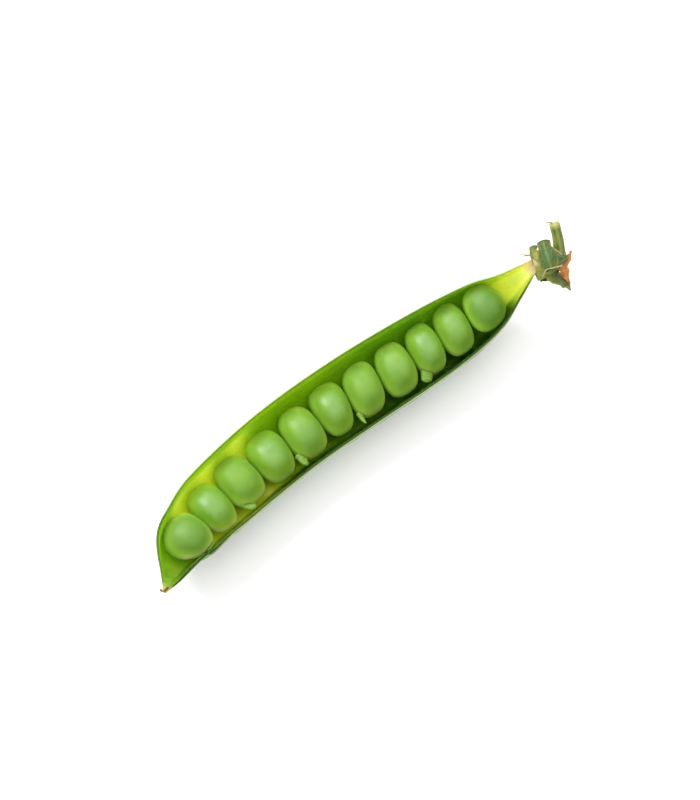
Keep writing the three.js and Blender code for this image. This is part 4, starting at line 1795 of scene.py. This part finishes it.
@dataclass(frozen=True)
class Calyx:
    """The cup round the foot of the pod, with five sepals and one small dry flap, threads and hairs."""

    axis: Path = Path(((54.2, -6.1, 14.4), (52.4, -5.4, 14.3), (50.2, -4.5, 14.0), (48.6, -3.8, 13.9)))
    radii: tuple[float, ...] = (0.8, 2.0, 2.7, 3.0)
    room_radii: Pair = (2.15, 2.7)
    room_share: float = 0.35
    rim_width: float = 0.25
    ring_counts: tuple[int, int] = (40, 24)  # along the outside and back in
    sides: int = 60
    rib_count: int = 5
    rib_heights: Pair = (0.05, 0.02)  # of the ribs and of the finer ones, as shares of the radius
    sepals: tuple[Blade, ...] = (
        Blade(Path(((50.4, -6.9, 16.6), (50.9, -5.2, 17.9), (51.6, -3.5, 18.4), (52.4, -1.9, 18.0))),
              (-0.2, -0.1, 1), 4.2, 0.3, 0.3, 1.5, gold=0.1, dry=0.15, seed=3, tip=1.35),
        Blade(Path(((50.2, -6.3, 15.6), (49.5, -4.7, 16.6), (49.5, -2.9, 16.9), (50.4, -1.1, 16.5))),
              (-0.6, 0.1, 1), 3.1, 0.3, 0.3, 2.5, gold=0.9, dry=0.6, seed=5, tip=0.8, ragged=0.1),
        Blade(Path(((50.1, -6.5, 13.9), (50.5, -8.0, 13.2), (51.3, -9.4, 11.9), (52.1, -10.7, 10.7))),
              (-0.3, -0.4, -1), 5.0, 0.2, 0.3, 2, gold=0.35, dry=0.35, seed=7, tip=1.4, ragged=0.15),
        Blade(Path(((52.3, -6.4, 12.9), (50.6, -6.5, 12.2), (49.4, -6.4, 11.4), (48.6, -6.2, 10.6))),
              (-0.3, 0, -1), 3.0, 0.4, 0.25, 2, gold=0.0, dry=0.1, seed=9),
        Blade(Path(((54.4, -6.7, 15.2), (52.9, -6.7, 15.9), (51.1, -6.7, 15.9), (49.6, -6.5, 15.1))),
              (0.1, -1, 0.7), 2.4, 0.4, 0.3, 2.5, gold=0.05, dry=0.1, seed=13),
        Blade(Path(((53.3, -6.7, 17.0), (53.0, -5.6, 17.5), (52.8, -4.3, 17.6))),
              (-0.1, -0.2, 1), 1.5, 0.3, 0.1, 1, thickness=0.25, dry=0.9, seed=15, foot=0.5, tip=0.08),
    )
    threads: tuple[Path, ...] = (
        Path(((46.7, -0.5, 17.2), (47.7, -1.3, 16.9), (48.9, -2.2, 16.4))),
        Path(((47.2, -1.4, 16.6), (48.2, -1.8, 16.4), (49.1, -2.4, 16.2))),
        Path(((48.0, -7.2, 16.0), (49.3, -6.6, 16.7), (50.5, -7.2, 17.0), (52.4, -7.9, 16.5))),
        Path(((53.6, -6.9, 16.9), (53.4, -5.6, 17.6), (52.9, -4.1, 17.8))),
    )
    thread_radii: Pair = (0.05, 0.15)
    hairs: int = 26
    hair: Pair = (0.055, 0.9)  # radius and length
    haired_sepal: int = 1

    def cup(self) -> Form:
        """The cup: rings out along its axis, over its rim and back in along its hollow.

        The outer radius is smooth through its values with five low ribs, and the inner one narrows
        evenly to the floor of the hollow.

        Returns:
            The closed cup.
        """
        outward, inward = self.ring_counts
        out_share = np.linspace(0, 1, outward)
        in_share = np.linspace(1, self.room_share, inward)
        inner = np.interp(in_share, (self.room_share, 1), self.room_radii)
        inner = np.minimum(inner, self.radii[-1] - self.rim_width)
        radius = np.concatenate([between(out_share, self.radii), inner])
        turn = round_ring(self.sides)
        ribs, fine = self.rib_heights
        ribs = ribs * np.cos(self.rib_count * turn) + fine * np.cos(3 * self.rib_count * turn)
        is_out = np.repeat((1.0, 0.0), self.ring_counts)[:, None]
        at, along = self.axis(np.concatenate([out_share, in_share]))
        side = unit(np.cross(UPRIGHT, along))
        out = np.cross(along, side)
        size = radius[:, None] * (1 + ribs * is_out)
        ring = side[:, None] * np.cos(turn)[..., None] + out[:, None] * np.sin(turn)[..., None]
        points = at[:, None] + ring * size[..., None]
        podward = rise(points[..., 0], 51.0, 49.6)
        high = rise(points[..., 2], 13.8, 15.0) * podward * rise(points[..., 1], -5.4, -3.8)
        return loft(points, {
            "vein": hill(np.cos(self.rib_count * turn), 1, 0.2) * is_out,
            "gold": 0.3 + 0 * size,
            "dry": 0.15 + 0 * size,
            "cream": 0.8 * high,
            "hairy": 0.8 * (1 - high) * podward,
        })

    def thread(self, path: Path) -> Form:
        """A dry thread: a tube whose radius grows evenly from its free end.

        Args:
            path: Its middle line, from its free end.

        Returns:
            The closed thread.
        """
        share = along_rings(24, 8)
        pale = 0.6 + 0 * share
        return tube(path, between(share, self.thread_radii), (0.3, 0.2, 1.0), {"cream": pale, "hairy": pale})

    def hair_at(self, i: int) -> Form:
        """A fine hair on the second sepal: a short tapering tube that stands out from its outer edge.

        The hairs follow the rib from its foot to its tip, and lean by a turn that repeats unevenly.

        Args:
            i: Which hair.

        Returns:
            The closed hair.
        """
        sepal = self.sepals[self.haired_sepal]
        at, along = sepal.rib(np.array([0.15 + 0.85 * i / self.hairs]))
        side = unit(np.cross(np.array(sepal.face), along[0]))
        lean = 0.5 * math.sin(2.4 * i)
        width, length = self.hair
        root = at[0] + side * (0.5 + 0.3 * math.sin(1.7 * i)) + np.array([0.0, 0.0, 0.3])
        middle = root + (side * 0.5 + along[0] * lean + np.array([0.0, 0.0, 0.25])) * length * 0.5
        end = middle + (side * 0.6 + along[0] * (lean + 0.3)) * length * 0.5
        share = along_rings(8, 6)
        path = path_through(np.stack([root, middle, end]))
        return tube(path, width * (1 - 0.7 * share), (0.3, 0.9, 0.2), {"hairy": 1 + 0 * share})

    def build(self) -> None:
        """Makes the calyx."""
        forms = [self.cup(), *(sepal.form() for sepal in self.sepals)]
        forms += [self.thread(path) for path in self.threads]
        forms += [self.hair_at(i) for i in range(self.hairs)]
        together(forms).piece("calyx_leaves", SepalSkin().material(), "calyx", "calyx")
        log.info("calyx built")


@dataclass(frozen=True)
class Stalk:
    """A short piece of stalk, ridged lengthways and torn at its end."""

    path: Path = Path((
        (53.5, -6.2, 14.7), (54.2, -4.9, 15.2), (55.2, -3.2, 16.3), (55.9, -1.7, 17.3), (56.4, -0.5, 18.2),
    ))
    radii: tuple[float, ...] = (1.3, 1.2, 1.15, 1.1, 1.15)
    torn_fibre: Path = Path(((56.0, -0.6, 18.0), (55.7, -0.1, 18.6), (55.2, 0.3, 18.9), (54.6, 0.9, 18.8)))
    ridges: int = 6
    ridge_twist: float = 1.5
    ridge_height: float = 0.1
    fine_height: float = 0.04
    fine_size: float = 0.8
    fibres: int = 9
    fibre_root: float = 0.97  # share of the path where the fibres start
    fibre_turn: float = 2.399  # the golden angle, which spreads them evenly
    fibre_radius: float = 0.14
    long_fibre_radius: float = 0.2
    grain: Grain = Grain(31)

    def body(self) -> Form:
        """The stalk: a tube through its radii, which narrows at once at its torn end.

        The radius goes up and down in waves, one for each ridge, which turn a little along the
        stalk, and in fine unevenness.

        Returns:
            The closed stalk.
        """
        rings, sides = 70, 60
        share, turn = along_rings(rings, sides), round_ring(sides)
        ridge = np.cos(self.ridges * turn + self.ridge_twist * share) * 0.5 + 0.5
        spot = np.stack([share * 1.5, np.cos(turn) * 3 + 0 * share, np.sin(turn) * 3 + 0 * share], axis=-1)
        fine = self.grain(spot, self.fine_size, 2)
        uneven = 1 - self.ridge_height + self.ridge_height * ridge + self.fine_height * fine
        radius = between(share, self.radii) * uneven * (1 - 0.5 * rise(share, self.fibre_root, 1.0))
        torn = rise(share, 0.82, self.fibre_root) * (0.6 + 0.4 * np.abs(fine))
        return tube(self.path, radius, (1.0, 0.0, 0.0), {"ridge": 1 - ridge, "torn": torn})

    def fibre(self, i: int) -> Form:
        """A torn fibre at the end of the stalk: a tube that bends outwards and thins evenly.

        Args:
            i: Which fibre; each stands one fixed turn further round, and their reaches differ.

        Returns:
            The closed fibre.
        """
        end, along = self.path(np.array([self.fibre_root]))
        turn = self.fibre_turn * i
        side = unit(np.cross(along[0], np.array([1.0, 0.0, 0.0])))
        other = np.cross(along[0], side)
        out = side * math.cos(turn) + other * math.sin(turn)
        reach = 0.5 + 0.25 * ((i * 7) % 5) / 5
        root = end[0] + out * 0.75
        bend = root + along[0] * 0.3 + out * 0.08
        tip = bend + along[0] * reach * 0.35 + out * 0.3
        share = along_rings(14, 8)
        values = {"torn": 1 + 0 * share, "dry": 0.5 * rise(share, 0.4, 1)}
        path = path_through(np.stack([root, bend, tip]))
        return tube(path, self.fibre_radius * (1 - 0.75 * share), (0.3, 0.9, 0.2), values)

    def long_fibre(self) -> Form:
        """The long brown fibre that bends away from the torn end: a tube whose radius shrinks evenly.

        Returns:
            The closed fibre.
        """
        share = along_rings(20, 8)
        values = {"torn": 1 + 0 * share, "dry": 0.3 + 0.6 * share}
        return tube(self.torn_fibre, self.long_fibre_radius * (1 - 0.7 * share), (0.3, 0.9, 0.2), values)

    def build(self) -> None:
        """Makes the stalk."""
        forms = [self.body(), self.long_fibre(), *(self.fibre(i) for i in range(self.fibres))]
        together(forms).piece("stalk", StalkSkin().material(), "stem", "stem")
        log.info("stalk built")


@dataclass(frozen=True)
class DriedFlower:
    """What is left of the flower: two withered petals under the calyx."""

    petals: tuple[Blade, ...] = (
        Blade(Path((
            (53.9, -6.25, 13.9), (53.3, -7.5, 13.8), (52.9, -8.75, 13.2), (52.5, -9.65, 12.4),
            (52.4, -10.4, 11.5),
        )), (0.5, 0, 1), 3.2, 0.5, 0.45, 2.5, ragged=0.3, dry=0.4, seed=17, thickness=0.4, foot=0.36),
        Blade(Path(((53.5, -7.5, 13.6), (54.4, -7.1, 14.0), (55.4, -6.6, 14.2), (56.3, -6.0, 14.0))),
              (0, -0.3, 1), 1.7, 0.5, 0.35, 2, ragged=0.35, dry=0.4, seed=19, thickness=0.4),
    )

    def build(self) -> None:
        """Makes the petals."""
        form = together(petal.form() for petal in self.petals)
        form.piece("withered_petals", PetalSkin().material(), "dried_flower", "dried_flower")
        log.info("flower built")


# ------------------------------------------------------------------------------------------ the studio


@dataclass(frozen=True)
class Studio:
    """A white floor, two soft lamps, a white surround and the camera.

    The key lamp stands to the upper left of the view and the other one overhead. A lamp's numbers
    are its distance, its width and its power in watts.
    """

    target: Point = (4.66, -0.89, 8.0)
    azimuth: float = -39.25
    elevation: float = 72.0
    distance: float = 1300.0
    lens: float = 300.0
    sensor: float = 36.0
    clip: Pair = (50.0, 20000.0)
    floor_half: float = 2500.0
    floor_drop: float = 0.02
    floor_tones: tuple[Color, Color] = ((0.91, 0.875, 0.91, 1.0), (0.93, 0.895, 0.93, 1.0))
    floor_scales: Pair = (40.0, 900.0)  # patches and specks in a metre
    surround: Pair = (0.4, 1.05)
    bright_side: Point = (-0.1, 0.45, 0.9)
    key_side: Point = (-0.126, 0.589, 0.798)
    key: Point = (900.0, 500.0, 7.5)
    over_side: Point = (0.1, -0.22, 0.96)
    over: Point = (1600.0, 1400.0, 11.0)

    def view_axes(self) -> tuple[Vector, Vector, Vector]:
        """The camera's own directions, from its azimuth round the pod and its elevation.

        Returns:
            Right, up and backward.
        """
        a, e = math.radians(self.azimuth), math.radians(self.elevation)
        right = Vector((math.cos(a), math.sin(a), 0))
        up = Vector((-math.sin(a) * math.sin(e), math.cos(a) * math.sin(e), math.cos(e)))
        back = Vector((math.sin(a) * math.cos(e), -math.cos(a) * math.cos(e), math.sin(e)))
        return right, up, back

    def camera(self) -> None:
        """Adds the camera, which looks down on the pod."""
        right, up, back = self.view_axes()
        data = bpy.data.cameras.new("camera")
        data.lens, data.sensor_width, data.sensor_fit = self.lens, self.sensor, "AUTO"
        data.clip_start, data.clip_end = (v * MM for v in self.clip)
        camera = bpy.data.objects.new("camera", data)
        spot = (Vector(self.target) + back * self.distance) * MM
        camera.matrix_world = Matrix.Translation(spot) @ Matrix((right, up, back)).transposed().to_4x4()
        bpy.context.scene.collection.objects.link(camera)
        bpy.context.scene.camera = camera

    def floor(self) -> None:
        """Adds the white floor, which isn't part of the object."""
        h = self.floor_half * MM
        mesh = bpy.data.meshes.new("floor")
        mesh.from_pydata([(-h, -h, 0), (h, -h, 0), (h, h, 0), (-h, h, 0)], [], [(0, 1, 2, 3)])
        r = Recipe("floor_white")
        place = r.place()
        patches, specks = (r.noise(place, scale, 2) for scale in self.floor_scales)
        color = r.mix(patches, *self.floor_tones)
        mesh.materials.append(r.finish(color, 0.85, r.relief((specks, 0.01)), gloss=0.2, glow=0.04))
        floor = bpy.data.objects.new("floor", mesh)
        floor.location.z = -self.floor_drop * MM
        bpy.context.scene.collection.objects.link(floor)

    def lamp(self, name: str, toward: Vector, distance: float, size: float, watts: float) -> None:
        """Adds a square soft lamp.

        Args:
            name: Its name.
            toward: Direction from the pod to the lamp.
            distance: How far it is, in millimetres.
            size: Its width, in millimetres.
            watts: Its power.
        """
        data = bpy.data.lights.new(name, "AREA")
        data.shape, data.size, data.energy = "SQUARE", size * MM, watts
        lamp = bpy.data.objects.new(name, data)
        lamp.location = (Vector(self.target) + toward.normalized() * distance) * MM
        lamp.rotation_euler = toward.to_track_quat("Z", "Y").to_euler()
        bpy.context.scene.collection.objects.link(lamp)

    def world(self) -> None:
        """Adds the white surround, whose brightness rises evenly from its dim to its bright side."""
        world = bpy.data.worlds.new("surround")
        world.use_nodes = True
        tree = world.node_tree
        way = tree.nodes.new("ShaderNodeTexCoord").outputs["Generated"]
        toward = tree.nodes.new("ShaderNodeVectorMath")
        toward.operation = "DOT_PRODUCT"
        toward.inputs[1].default_value = Vector(self.bright_side).normalized()
        level = tree.nodes.new("ShaderNodeMapRange")
        level.inputs["From Min"].default_value, level.inputs["From Max"].default_value = -1, 1
        level.inputs["To Min"].default_value, level.inputs["To Max"].default_value = self.surround
        background = tree.nodes["Background"]
        background.inputs["Color"].default_value = WHITE
        tree.links.new(way, toward.inputs[0])
        tree.links.new(toward.outputs["Value"], level.inputs["Value"])
        tree.links.new(level.outputs[0], background.inputs["Strength"])
        bpy.context.scene.world = world

    def build(self) -> None:
        """Sets up the floor, the lights and the camera."""
        self.camera()
        self.floor()
        self.world()
        self.lamp("key", Vector(self.key_side), *self.key)
        self.lamp("overhead", Vector(self.over_side), *self.over)
        bpy.context.scene.view_settings.view_transform = "Standard"
        bpy.context.scene.view_settings.look = "None"
        log.info("studio built")


def main() -> None:
    """Builds the studio and each piece of the pod."""
    logging.basicConfig(level=logging.INFO, format="%(name)s: %(message)s")
    Studio().build()
    Pod().build()
    PeaRow().build()
    Calyx().build()
    Stalk().build()
    DriedFlower().build()


if __name__ == "__main__":
    main()
